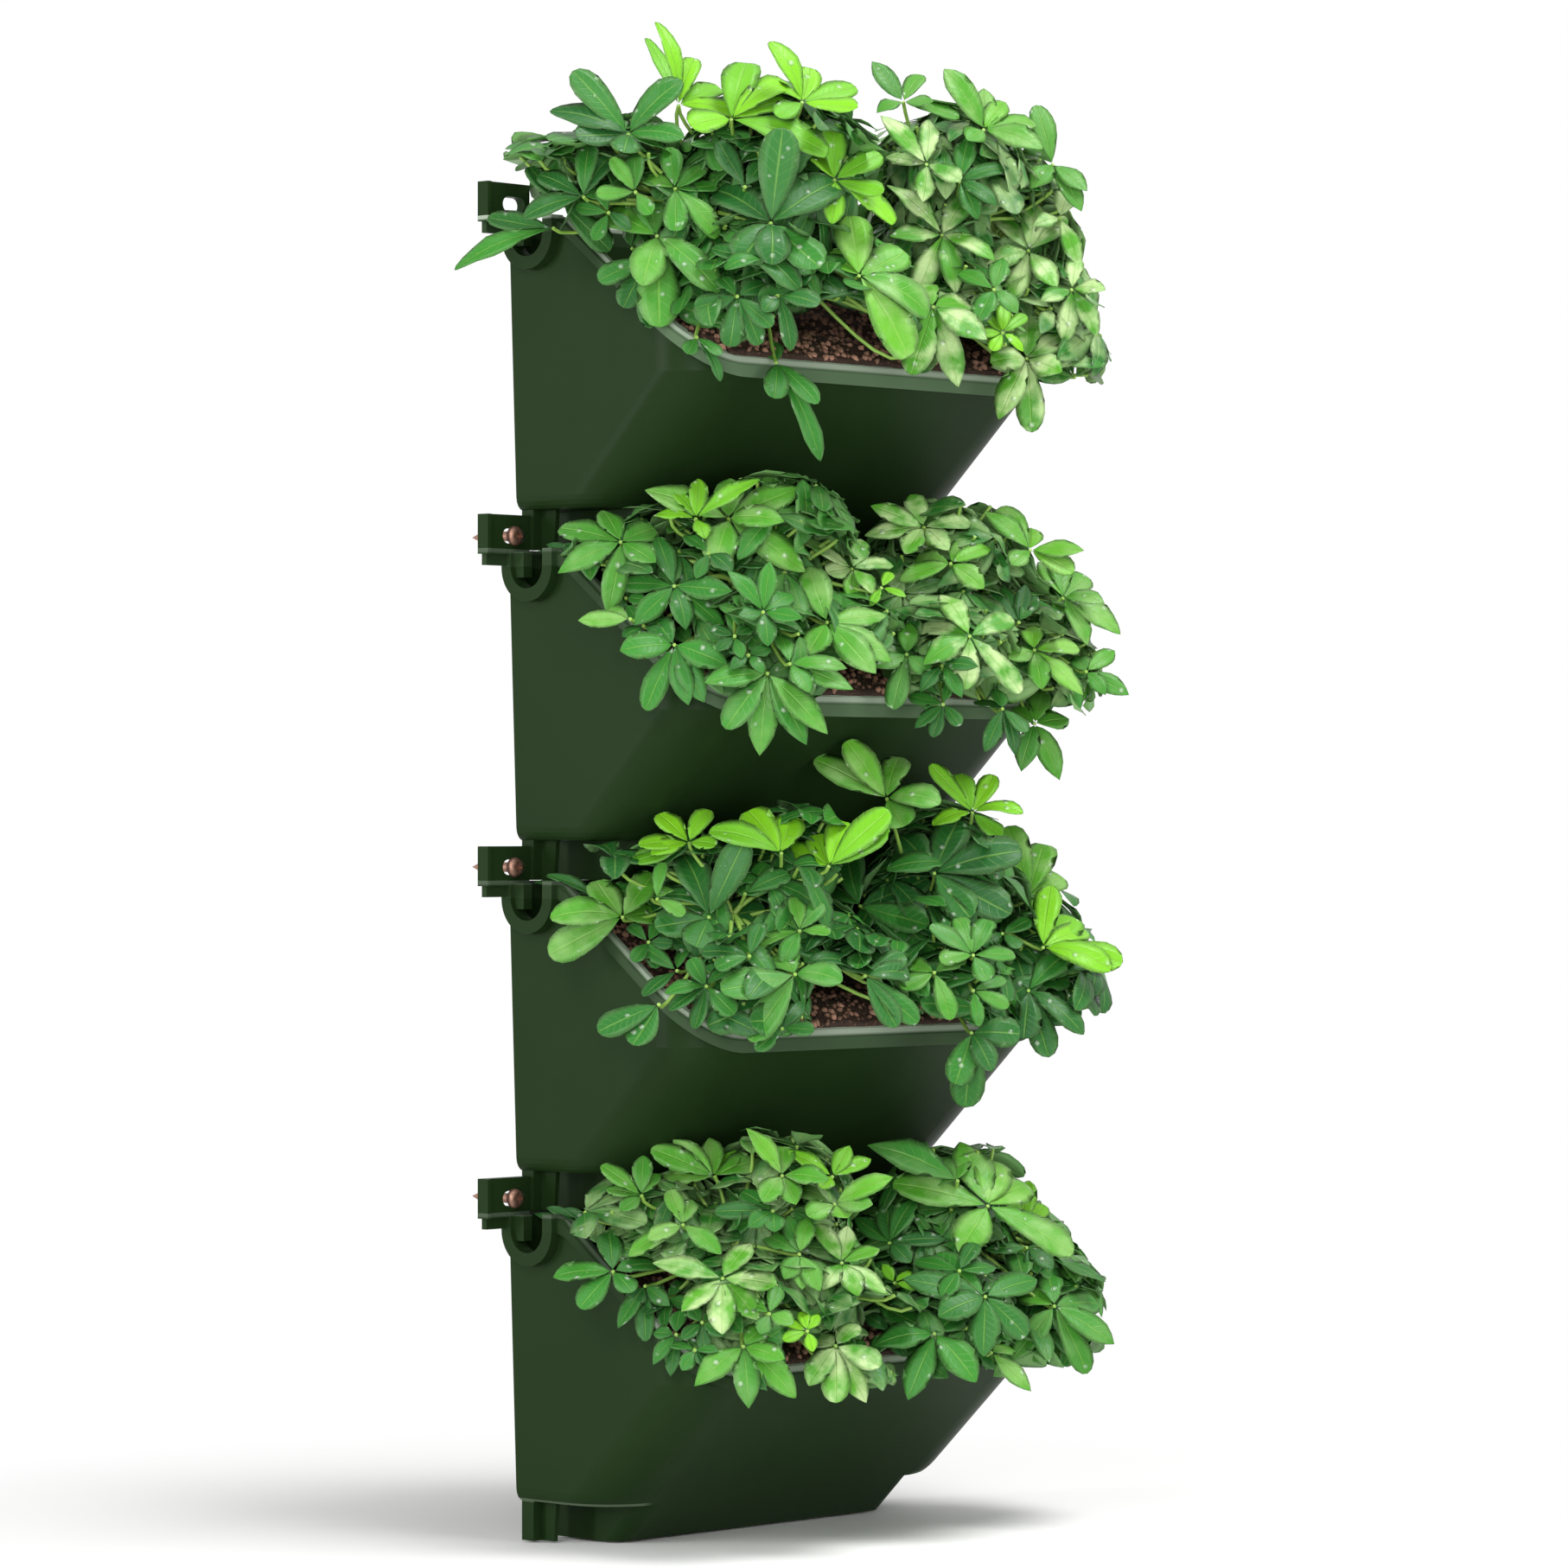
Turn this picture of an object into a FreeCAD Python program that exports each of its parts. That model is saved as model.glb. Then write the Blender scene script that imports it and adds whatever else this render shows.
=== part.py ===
"""Wall planter: four stacked moulded pots on wall screws, each with a soil bed and two umbrella plants.

Frame: +X to the right, the front faces -Y, the wall is the plane Y = 0, +Z is up.
The origin lies on the wall, in the middle of the lowest pot's back face. Millimetres.
Each pot is drawn in its own frame, whose Z = 0 is the top edge of its screw ears.
The outside is drawn past the wall plane and cut off there, so that the back is one flat face.
"""
import FreeCAD
import Part
import Sketcher
import math
import os
import re

Vector = FreeCAD.Vector

# Driving sizes. Drops are measured down from the top edge of a pot's ears, reaches forward from the wall.
SIZES = {
    # the stack
    "pitch": 150.0,
    "stack_gap": 0.3,
    # the shell
    "wall": 2.2,
    "back_stock": 5.0,
    "side_draft": 0.036,
    "front_slope": 1.03,
    "shoulder_drop": 147.5,
    "shoulder_half": 116.0,
    "shoulder_reach": 57.3,
    "shoulder_round": 6.0,
    "shoulder_tuck": 4.2,
    "corner_radius": 27.5,
    # the rim collar
    "rim_back_drop": 15.7,
    "rim_front_drop": 83.8,
    "rim_reach": 120.0,
    "rim_angle": 38.9,
    "rim_bend": 25.0,
    "collar_height": 7.7,
    "collar_proud": 2.5,
    "collar_bevel": 2.2,
    # the neck
    "neck_half": 90.0,
    "neck_radius": 9.0,
    "drain_diameter": 4.0,
    "drain_spacing": 30.0,
    # the locating bars and ribs beside the neck
    "bar_outer": 112.6,
    "bar_width": 5.2,
    "bar_depth": 7.5,
    "rib_thickness": 2.4,
    "rib_depth": 17.0,
    "rib_taper": 1.6,
    # the screw ears, whose outer edge and slot are measured from their inner edge
    "ear_outer": 27.9,
    "ear_gap": 0.5,
    "ear_back_gap": 0.4,
    "ear_height": 18.0,
    "ear_thickness": 5.0,
    "ear_border": 2.4,
    "ear_border_depth": 7.0,
    "ear_step_inset": 2.6,
    "ear_step_height": 5.0,
    "ear_step_depth": 3.4,
    "slot_centre": 9.9,
    "slot_drop": 9.5,
    "slot_length": 14.0,
    "slot_height": 7.0,
    # the pipe saddles
    "saddle_reach": 16.3,
    "saddle_drop": 23.6,
    "saddle_radius": 10.0,
    "saddle_rim": 6.0,
    "saddle_flat": 0.2,
    "saddle_proud": 5.4,
    "hook_proud": 3.2,
    "hook_width": 6.0,
    "hook_length": 10.5,
    # the wall screws
    "screw_diameter": 4.5,
    "screw_head_diameter": 9.0,
    "screw_head_height": 2.8,
    "screw_head_round": 2.2,
    "screw_length": 30.0,
    "screw_point": 6.0,
    "recess_length": 5.4,
    "recess_width": 1.3,
    "recess_depth": 1.5,
    # soil and plants
    "soil_gap": 0.3,
    "soil_below_rim": 8.0,
    "soil_back_drop": 38.0,
    "crown_above_rim": 2.0,
    "crown_split": 1.0,
    "crown_pot_gap": 4.2,
    "stem_diameter": 5.0,
    "stem_spacing": 14.0,
}

doc = FreeCAD.newDocument("wall_planter")
sheet = doc.addObject("Spreadsheet::Sheet", "Sizes")
for row, (word, size) in enumerate(SIZES.items(), start=1):
    sheet.set(f"A{row}", word)
    sheet.set(f"B{row}", str(size))
    sheet.setAlias(f"B{row}", word)
doc.recompute()


def formula(text):
    """Put the sheet's name before every size named in a formula."""
    def with_sheet(match):
        word = match.group()
        return f"Sizes.{word}" if word in SIZES else word
    return re.sub(r"[a-z_]+", with_sheet, text)


def bind(item, target, text):
    """Tie one property or constraint of an object to a formula of the sheet's sizes."""
    item.setExpression(target, formula(text))


def number(text):
    """Present value of a formula, to draw a sketch near its final shape."""
    return float(sheet.evalExpression(formula(text)))


def origin_plane(body, role):
    """One of a body's own three base planes."""
    return next(item for item in body.Origin.OriginFeatures if item.Role == role)


def sketch_on(body, name, plane, lift="0"):
    """Empty sketch on a base plane of its own body, lifted along the plane's normal."""
    sketch = body.newObject("Sketcher::SketchObject", name)
    sketch.AttachmentSupport = [(origin_plane(body, plane), "")]
    sketch.MapMode = "FlatFace"
    bind(sketch, "AttachmentOffset.Base.z", lift)
    return sketch


def fix_point(sketch, geometry, end, corner):
    """Dimension a point of a sketch from the origin by two formulas."""
    for direction, text in zip(("DistanceX", "DistanceY"), corner):
        index = sketch.addConstraint(
            Sketcher.Constraint(direction, -1, 1, geometry, end, number(text)))
        bind(sketch, f"Constraints[{index}]", text)


def rounded_corner(before, corner, after, radius):
    """Arc that rounds a corner, its two tangent points, and whether it turns to the left."""
    to_before = (before - corner).normalize()
    to_after = (after - corner).normalize()
    half_angle = to_before.getAngle(to_after) / 2
    reach = radius / math.tan(half_angle)
    middle = (to_before + to_after).normalize()
    centre = corner + middle * (radius / math.sin(half_angle))
    first = corner + to_before * reach
    last = corner + to_after * reach
    left_turn = to_after.cross(to_before).z > 0
    start, stop = (first, last) if left_turn else (last, first)
    angles = [math.atan2(p.y - centre.y, p.x - centre.x) for p in (start, stop)]
    arc = Part.ArcOfCircle(Part.Circle(centre, Vector(0, 0, 1), radius), angles[0], angles[1])
    return arc, first, last, left_turn


def draw_outline(sketch, corners):
    """Closed outline through corners (x, y) or (x, y, radius), all given as formulas."""
    points = [Vector(number(corner[0]), number(corner[1]), 0) for corner in corners]
    count = len(corners)
    arcs = {}
    starts, ends = list(points), points[1:] + points[:1]
    for i, corner in enumerate(corners):
        if len(corner) == 3:
            arc, first, last, left_turn = rounded_corner(
                points[i - 1], points[i], points[(i + 1) % count], number(corner[2]))
            arcs[i] = (arc, left_turn)
            starts[i] = last
            ends[i - 1] = first
    lines = [sketch.addGeometry(Part.LineSegment(a, b), False) for a, b in zip(starts, ends)]
    for i, corner in enumerate(corners):
        before, after = lines[i - 1], lines[i]
        if i not in arcs:
            sketch.addConstraint(Sketcher.Constraint("Coincident", before, 2, after, 1))
            fix_point(sketch, after, 1, corner[:2])
            continue
        arc, left_turn = arcs[i]
        bend = sketch.addGeometry(arc, False)
        first, last = (1, 2) if left_turn else (2, 1)
        sketch.addConstraint(Sketcher.Constraint("Tangent", before, 2, bend, first))
        sketch.addConstraint(Sketcher.Constraint("Tangent", after, 1, bend, last))
        index = sketch.addConstraint(Sketcher.Constraint("Radius", bend, number(corner[2])))
        bind(sketch, f"Constraints[{index}]", corner[2])
        apex = sketch.addGeometry(Part.Point(points[i]), True)
        fix_point(sketch, apex, 1, corner[:2])
        sketch.addConstraint(Sketcher.Constraint("PointOnObject", apex, 1, before))
        sketch.addConstraint(Sketcher.Constraint("PointOnObject", apex, 1, after))


def draw_slot(sketch, x, y, length, height):
    """Level slot with round ends, given by formulas for its centre, length and height."""
    run = f"(({length}) - ({height})) / 2"
    radius = number(f"({height}) / 2")
    middle = number(y)
    ends = []
    for sign, turn in ((1, -0.5), (-1, 0.5)):
        centre = Vector(number(f"{x} + {sign} * {run}"), middle, 0)
        circle = Part.Circle(centre, Vector(0, 0, 1), radius)
        half_turn = Part.ArcOfCircle(circle, turn * math.pi, (turn + 1) * math.pi)
        ends.append(sketch.addGeometry(half_turn, False))
        fix_point(sketch, ends[-1], 3, (f"{x} + {sign} * {run}", y))
    left, right = (number(f"{x} + {sign} * {run}") for sign in (-1, 1))
    for start, stop, level in ((ends[0], ends[1], radius), (ends[1], ends[0], -radius)):
        span = (right, left) if level > 0 else (left, right)
        edge = Part.LineSegment(*(Vector(place, middle + level, 0) for place in span))
        line = sketch.addGeometry(edge, False)
        sketch.addConstraint(Sketcher.Constraint("Tangent", start, 2, line, 1))
        sketch.addConstraint(Sketcher.Constraint("Tangent", line, 2, stop, 1))
    index = sketch.addConstraint(Sketcher.Constraint("Radius", ends[0], radius))
    bind(sketch, f"Constraints[{index}]", f"({height}) / 2")


def plan(body, name, height, half, back, reach, radius):
    """Rounded plan of a pot at one height: flat back, straight sides, round front corners."""
    sketch = sketch_on(body, name, "XY_Plane", height)
    draw_outline(sketch, [
        (f"-({half})", f"-({back})"),
        (f"-({half})", f"-({reach})", radius),
        (half, f"-({reach})", radius),
        (half, f"-({back})"),
    ])
    return sketch


def loft(body, name, kind, sketches):
    """Straight-sided loft through a pot's plans, added or taken away."""
    feature = body.newObject(f"PartDesign::{kind}", name)
    feature.Profile = sketches[0]
    feature.Sections = sketches[1:]
    feature.Ruled = True
    return feature


def side_outline(body, name, corners):
    """Closed outline on the pot's middle plane, from (reach, drop) corners."""
    sketch = sketch_on(body, name, "YZ_Plane")
    draw_outline(sketch, [(f"-({c[0]})", f"-({c[1]})") + tuple(c[2:]) for c in corners])
    return sketch


def across(body, name, kind, sketch, width="3 * shoulder_half"):
    """Pad or pocket of a side outline, the same amount to the left and to the right."""
    feature = body.newObject(f"PartDesign::{kind}", name)
    feature.Profile = sketch
    feature.Midplane = True
    bind(feature, "Length", width)
    return feature


def both_sides(corners):
    """An outline in the (x, drop) of the right side and its mirror image on the left."""
    right = [(x, f"-({drop})") for x, drop in corners]
    left = [(f"-({x})", z) for x, z in right]
    return right, left


def forward(body, name, corners, depth, start="0"):
    """Pad of a back-view outline, drawn on both sides, forward from the wall."""
    sketch = sketch_on(body, f"{name}_sketch", "XZ_Plane", start)
    for outline in both_sides(corners):
        draw_outline(sketch, outline)
    feature = body.newObject("PartDesign::Pad", name)
    feature.Profile = sketch
    bind(feature, "Length", f"{depth} - ({start})")


def rectangle(inner, outer, top, bottom):
    """Corners of an upright rectangle in the (x, drop) of the right side."""
    return [(inner, top), (outer, top), (outer, bottom), (inner, bottom)]


def sloped(thickness):
    """Thickness of a layer along the front's slope, measured level."""
    return f"(({thickness}) * sqrt(1 + front_slope * front_slope))"


# Formulas that several pieces share. The last three lie outside everything that is cut.
NECK_DROP = "(pitch + rim_back_drop - stack_gap)"
FLOOR_DROP = "(shoulder_drop - wall)"
KNEE_DROP = "(shoulder_drop - (rim_reach - collar_proud - shoulder_reach) / front_slope)"
KNEE_REACH = "(rim_reach - collar_proud)"
RIM_CORNER = "(rim_reach - (rim_front_drop - rim_back_drop) / tan(rim_angle))"
EAR_FRONT = "(ear_back_gap + ear_thickness)"
EAR_INNER = "(bar_outer + ear_gap)"
EAR_OUTER = f"({EAR_INNER} + ear_outer)"
SLOT_CENTRE = f"({EAR_INNER} + slot_centre)"
OUTSIDE_BACK = "(-1 * back_stock)"
BEHIND = "(-2 * back_stock)"
FAR = "(2 * rim_reach)"
HIGH = "(-1 * pitch)"


def half_at(drop):
    """Half the outside width of the side walls at a drop."""
    return f"(shoulder_half + side_draft * (shoulder_drop - ({drop})))"


def reach_at(drop):
    """Reach of the sloping front wall at a drop."""
    return f"(shoulder_reach + front_slope * (shoulder_drop - ({drop})))"


def rim_line(lower):
    """The mouth's side profile, lowered by some amount: level, bend, slope down to the front."""
    return [
        (BEHIND, f"rim_back_drop + {lower}"),
        (RIM_CORNER, f"rim_back_drop + {lower}", "rim_bend"),
        ("rim_reach", f"rim_front_drop + {lower}"),
        (FAR, f"rim_front_drop + {lower}"),
    ]


def add_collar(body):
    """Rim collar: a drafted block, cut off below the lowered mouth profile."""
    plans = [
        plan(body, f"collar_plan_{i}", f"-({drop})", f"{half_at(drop)} + collar_proud", OUTSIDE_BACK,
             "rim_reach", "corner_radius + collar_proud / 2")
        for i, drop in enumerate(("rim_front_drop + 3 * collar_height", "0"))
    ]
    loft(body, "collar_block", "AdditiveLoft", plans)
    below = rim_line("collar_height") + [(FAR, FAR), (BEHIND, FAR)]
    across(body, "collar_underside", "Pocket", side_outline(body, "collar_underside_sketch", below))


def add_walls(body):
    """Drafted sides and sloping front, with a rounded shoulder at the bottom of the sides."""
    plans = []
    steps = 4
    for i in range(steps + 1):
        angle = 90.0 * i / steps
        drop = f"shoulder_drop - shoulder_round * (1 - cos({angle}))"
        half = f"{half_at(drop)} - shoulder_tuck * (1 - sin({angle}))"
        plans.append(plan(body, f"shoulder_plan_{i}", f"-({drop})", half, OUTSIDE_BACK, reach_at(drop),
                          "corner_radius"))
    for i, drop in enumerate((KNEE_DROP, "0")):
        plans.append(plan(body, f"wall_plan_{i}", f"-({drop})", half_at(drop), OUTSIDE_BACK, KNEE_REACH,
                          "corner_radius"))
    loft(body, "walls", "AdditiveLoft", plans)


def add_neck(body):
    """Narrow outlet below the shoulder, flush with the sloping front."""
    plans = [
        plan(body, f"neck_plan_{i}", f"-({drop})", "neck_half", OUTSIDE_BACK, reach_at(drop),
             "neck_radius")
        for i, drop in enumerate(("shoulder_drop", NECK_DROP))
    ]
    loft(body, "neck", "AdditiveLoft", plans)


def flatten_back(body):
    """Everything behind the wall plane comes away, which leaves one flat back face."""
    behind = [("0", HIGH), ("0", FAR), (BEHIND, FAR), (BEHIND, HIGH)]
    across(body, "wall_face", "Pocket", side_outline(body, "wall_face_sketch", behind))


def saddle_corners(radius, top):
    """U outline round the pipe seat, as (reach, drop) corners."""
    half = f"({radius} + saddle_flat / 2)"
    low = f"saddle_drop + {radius}"
    return [
        (f"saddle_reach - {half}", top),
        (f"saddle_reach - {half}", low, radius),
        (f"saddle_reach + {half}", low, radius),
        (f"saddle_reach + {half}", top),
    ]


def add_saddles(body):
    """Raised U of each pipe saddle, run across the pot before it is hollowed."""
    outer = saddle_corners("(saddle_radius + saddle_rim)", "rim_back_drop")
    ring = side_outline(body, "saddle_sketch", outer)
    across(body, "saddles", "Pad", ring, f"2 * ({half_at('saddle_drop')} + saddle_proud)")


def cut_mouth(body):
    """Everything above the mouth profile comes away."""
    above = rim_line("0") + [(FAR, HIGH), (BEHIND, HIGH)]
    across(body, "mouth", "Pocket", side_outline(body, "mouth_sketch", above))


def mouth_drop(reach):
    """Drop of the mouth profile at a reach, its bend left sharp."""
    past_corner = max(0.0, reach - number(RIM_CORNER))
    return number("rim_back_drop") + past_corner * number("tan(rim_angle)")


def bevel_rim(body):
    """Bevel round the collar's outer top edge, from one end of the side walls to the other."""
    doc.recompute()
    solid = body.Tip
    slack = number("collar_height / 2")
    front = number("rim_reach")
    outside = []
    for i, edge in enumerate(solid.Shape.Edges, start=1):
        points = edge.discretize(5)
        on_mouth_edge = all(abs(p.z + mouth_drop(-p.y)) < slack for p in points)
        level_across = abs(points[0].y - points[-1].y) < 0.01
        at_front = abs(points[0].y + front) < 0.01
        if on_mouth_edge and (at_front or not level_across):
            outside.append(f"Edge{i}")
    bevel = body.newObject("PartDesign::Chamfer", "rim_bevel")
    bevel.Base = (solid, outside)
    bind(bevel, "Size", "collar_bevel")


def hollow(body, gap, kind):
    """Inside of a pot and its neck, less a gap: a cavity to take away or a filling to add."""
    inner = f"(wall + {gap})"
    slant = sloped(inner)
    main = []
    floor = f"({FLOOR_DROP} - {gap})"
    levels = [(floor, reach_at(floor)), (KNEE_DROP, KNEE_REACH), ("0", KNEE_REACH)]
    for i, (drop, reach) in enumerate(levels):
        inset = f"{inner} + shoulder_tuck / 2" if i == 0 else inner
        main.append(plan(body, f"inside_plan_{i}", f"-({drop})", f"{half_at(drop)} - ({inset})", inner,
                         f"{reach} - {slant}", f"corner_radius - {inner}"))
    loft(body, "inside", kind, main)
    neck_floor = f"({NECK_DROP} - {inner})"
    neck = []
    for i, drop in enumerate((f"({FLOOR_DROP} - 2 * wall)", neck_floor)):
        neck.append(plan(body, f"neck_inside_plan_{i}", f"-({drop})", f"neck_half - {inner}", inner,
                         f"{reach_at(drop)} - {slant}", f"neck_radius - {inner}"))
    loft(body, "neck_inside", kind, neck)


def cut_pipe_seats(body):
    """Open U through both side walls, where a watering pipe lies."""
    seat = side_outline(body, "pipe_seat_sketch", saddle_corners("saddle_radius", "rim_back_drop - 2 * wall"))
    across(body, "pipe_seats", "Pocket", seat)


def add_ears(body):
    """Screw ears: plate with a raised outer border, a stepped foot and a level slot."""
    joint = "(ear_height - ear_border / 2)"
    plate = rectangle(EAR_INNER, EAR_OUTER, "0", "ear_height")
    forward(body, "ear_plate", plate, EAR_FRONT, "ear_back_gap")
    border = rectangle(f"{EAR_OUTER} - ear_border", EAR_OUTER, "0", "ear_height")
    forward(body, "ear_border", border, "ear_border_depth", "ear_back_gap")
    step = rectangle(f"{half_at('ear_height')} - wall", f"{EAR_OUTER} - ear_step_inset", joint,
                     "ear_height + ear_step_height")
    forward(body, "ear_foot", step, "ear_step_depth", "ear_back_gap")
    hook_side = half_at("saddle_drop")
    hook = rectangle(f"{hook_side} - wall", f"{hook_side} + hook_proud", joint, "ear_height + hook_length")
    forward(body, "pipe_hook", hook, "saddle_reach - saddle_radius + hook_width", "ear_back_gap")
    sketch = sketch_on(body, "ear_slot_sketch", "XZ_Plane")
    for sign in (1, -1):
        draw_slot(sketch, f"{sign} * {SLOT_CENTRE}", "-1 * slot_drop", "slot_length", "slot_height")
    slot = body.newObject("PartDesign::Pocket", "ear_slot")
    slot.Profile = sketch
    slot.Midplane = True
    bind(slot, "Length", "3 * ear_border_depth")


def add_bars(body):
    """Locating bars and thin tapered ribs beside the neck, on a flange in the pot's floor."""
    flange = rectangle("neck_half", "bar_outer", FLOOR_DROP, "shoulder_drop")
    forward(body, "bar_flange", flange, "bar_depth")
    bar = rectangle("bar_outer - bar_width", "bar_outer", FLOOR_DROP, NECK_DROP)
    forward(body, "locating_bars", bar, "bar_depth")
    for side in ("left", "right"):
        inside = "(bar_outer - bar_width - rib_thickness)"
        lift = "-1 * (bar_outer - bar_width)" if side == "left" else inside
        sketch = sketch_on(body, f"{side}_rib_sketch", "YZ_Plane", lift)
        draw_outline(sketch, [
            ("0", f"-({FLOOR_DROP})"),
            ("-1 * rib_depth", f"-({FLOOR_DROP})"),
            ("rib_taper - rib_depth", f"-({NECK_DROP})"),
            ("0", f"-({NECK_DROP})"),
        ])
        rib = body.newObject("PartDesign::Pad", f"{side}_rib")
        rib.Profile = sketch
        bind(rib, "Length", "rib_thickness")


def cut_drains(body):
    """Row of drain holes through the neck's floor."""
    sketch = sketch_on(body, "drain_sketch", "XY_Plane", f"-({NECK_DROP}) - wall")
    circle = sketch.addGeometry(Part.Circle(Vector(0, 0, 0), Vector(0, 0, 1), number("drain_diameter / 2")), False)
    index = sketch.addConstraint(Sketcher.Constraint("Diameter", circle, number("drain_diameter")))
    bind(sketch, f"Constraints[{index}]", "drain_diameter")
    fix_point(sketch, circle, 3, ("-2 * drain_spacing", f"-({reach_at(NECK_DROP)}) / 2"))
    hole = body.newObject("PartDesign::Pocket", "drain_hole")
    hole.Profile = sketch
    hole.Reversed = True
    bind(hole, "Length", "3 * wall")
    row = body.newObject("PartDesign::LinearPattern", "drain_row")
    row.Originals = [hole]
    row.Direction = (origin_plane(body, "X_Axis"), [""])
    row.Occurrences = 5
    bind(row, "Length", "4 * drain_spacing")
    body.Tip = row


def make_pot():
    """The moulded pot that every level of the stack uses."""
    body = doc.addObject("PartDesign::Body", "pot_moulding")
    add_collar(body)
    add_walls(body)
    add_neck(body)
    flatten_back(body)
    cut_mouth(body)
    bevel_rim(body)
    add_saddles(body)
    hollow(body, "0", "SubtractiveLoft")
    cut_pipe_seats(body)
    add_ears(body)
    add_bars(body)
    cut_drains(body)
    return body


def make_soil():
    """Soil bed: fills the pot and its neck up to a level back and a slope along the mouth."""
    body = doc.addObject("PartDesign::Body", "soil_bed")
    hollow(body, "soil_gap", "AdditiveLoft")
    front = "(rim_front_drop + soil_below_rim / cos(rim_angle))"
    bend = f"rim_reach - ({front} - soil_back_drop) / tan(rim_angle)"
    above = [(BEHIND, "soil_back_drop"), (bend, "soil_back_drop"), ("rim_reach", front), (FAR, front),
             (FAR, HIGH), (BEHIND, HIGH)]
    across(body, "soil_top", "Pocket", side_outline(body, "soil_top_sketch", above))
    return body


def make_screw():
    """Pan-head screw with a cross recess, its head's underside on the plane Y = 0."""
    body = doc.addObject("PartDesign::Body", "pan_head_screw")
    profile = sketch_on(body, "screw_sketch", "XY_Plane")
    head = "screw_head_diameter / 2"
    shank = "screw_diameter / 2"
    tip = "screw_length - screw_head_height"
    draw_outline(profile, [
        ("0", "-1 * screw_head_height"),
        (head, "-1 * screw_head_height", "screw_head_round"),
        (head, "0"),
        (shank, "0"),
        (shank, f"{tip} - screw_point"),
        ("0", tip),
    ])
    turned = body.newObject("PartDesign::Revolution", "screw_turned")
    turned.Profile = profile
    turned.ReferenceAxis = (profile, ["V_Axis"])
    cross = sketch_on(body, "recess_sketch", "XZ_Plane", "screw_head_height")
    long, thin = "recess_length / 2", "recess_width / 2"
    quarter = [(long, thin), (thin, thin), (thin, long)]
    corners = list(quarter)
    corners += [(f"-({x})", y) for x, y in reversed(quarter)]
    corners += [(f"-({x})", f"-({y})") for x, y in quarter]
    corners += [(x, f"-({y})") for x, y in reversed(quarter)]
    draw_outline(cross, corners)
    recess = body.newObject("PartDesign::Pocket", "recess")
    recess.Profile = cross
    bind(recess, "Length", "recess_depth")
    return body


def on_mouth(item, x, back, rise):
    """Place a piece over the mouth: back along its slope from the front rim, and up square to it."""
    bind(item, "Placement.Base.x", f"{x}")
    bind(item, "Placement.Base.y",
         f"({back}) * cos(rim_angle) - ({rise}) * sin(rim_angle) - rim_reach")
    bind(item, "Placement.Base.z",
         f"({back}) * sin(rim_angle) + ({rise}) * cos(rim_angle) - rim_front_drop")


def base_drop(reach):
    """Drop of the plane that a leaf crown stands on, at a reach."""
    return f"(rim_front_drop - crown_above_rim / cos(rim_angle) + ({reach} - rim_reach) * tan(rim_angle))"


def make_room(name, side, covered):
    """Space of one plant: over the mouth, on its side of the pot, clear of any pot above."""
    body = doc.addObject("PartDesign::Body", name)
    if covered:
        clear = sloped("crown_pot_gap")
        back = f"({reach_at(NECK_DROP)} + {clear})"
        top = f"({KNEE_DROP} - pitch)"
        corners = [(back, base_drop(back)), (f"{KNEE_REACH} + {clear}", top), (FAR, top)]
    else:
        corners = [("crown_pot_gap", base_drop("crown_pot_gap")), ("crown_pot_gap", HIGH), (FAR, HIGH)]
    corners.append((FAR, base_drop(FAR)))
    sign = -1 if side == "left" else 1
    sketch = sketch_on(body, f"{name}_sketch", "YZ_Plane", f"{sign} * crown_split / 2")
    draw_outline(sketch, [(f"-({reach})", f"-({drop})") for reach, drop in corners])
    pad = body.newObject("PartDesign::Pad", f"{name}_pad")
    pad.Profile = sketch
    pad.Reversed = side == "left"
    bind(pad, "Length", "2 * shoulder_half")
    return body


def make_crown(name, side, covered, lumps):
    """Leaf crown of one plant: a clump of rounded leaf masses, trimmed to the plant's space."""
    spheres = []
    for i, (x, back, rise, radius) in enumerate(lumps):
        sphere = doc.addObject("Part::Sphere", f"{name}_lump_{i}")
        sphere.Radius = radius
        on_mouth(sphere, x, back, rise)
        spheres.append(sphere)
    clump = doc.addObject("Part::MultiFuse", f"{name}_clump")
    clump.Shapes = spheres
    crown = doc.addObject("Part::Common", name)
    crown.Base = clump
    crown.Tool = make_room(f"{name}_room", side, covered)
    return crown


def make_stems(name, x, back):
    """Three short stems of one plant, square to the mouth, from the soil up to the crown."""
    stems = []
    for i, (aside, behind) in enumerate(((-1, 0), (1, 0.4), (0, -1))):
        stem = doc.addObject("Part::Cylinder", f"{name}_{i}")
        bind(stem, "Radius", "stem_diameter / 2")
        bind(stem, "Height", "soil_below_rim + crown_above_rim")
        stem.Placement.Rotation = FreeCAD.Rotation(Vector(1, 0, 0), SIZES["rim_angle"])
        bind(stem, "Placement.Rotation.Angle", "rim_angle")
        on_mouth(stem, f"{x} + {aside} * stem_spacing / 2", f"{back} + {behind} * stem_spacing / 2",
                 "-1 * soil_below_rim")
        stems.append(stem)
    group = doc.addObject("Part::Compound", name)
    group.Links = stems
    return group


def repeat(source, name, level, drop="0"):
    """A named copy of a piece at one level of the stack, its own zero a drop below the ear top."""
    copy = doc.addObject("App::Link", name)
    copy.LinkedObject = source
    copy.Label = name
    bind(copy, "Placement.Base.z", f"(rim_back_drop + shoulder_drop) / 2 + {level} * pitch - {drop}")
    return copy


LEVELS = ["bottom", "third", "second", "top"]
STEM_X = 50
STEM_BACK = 45

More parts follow.
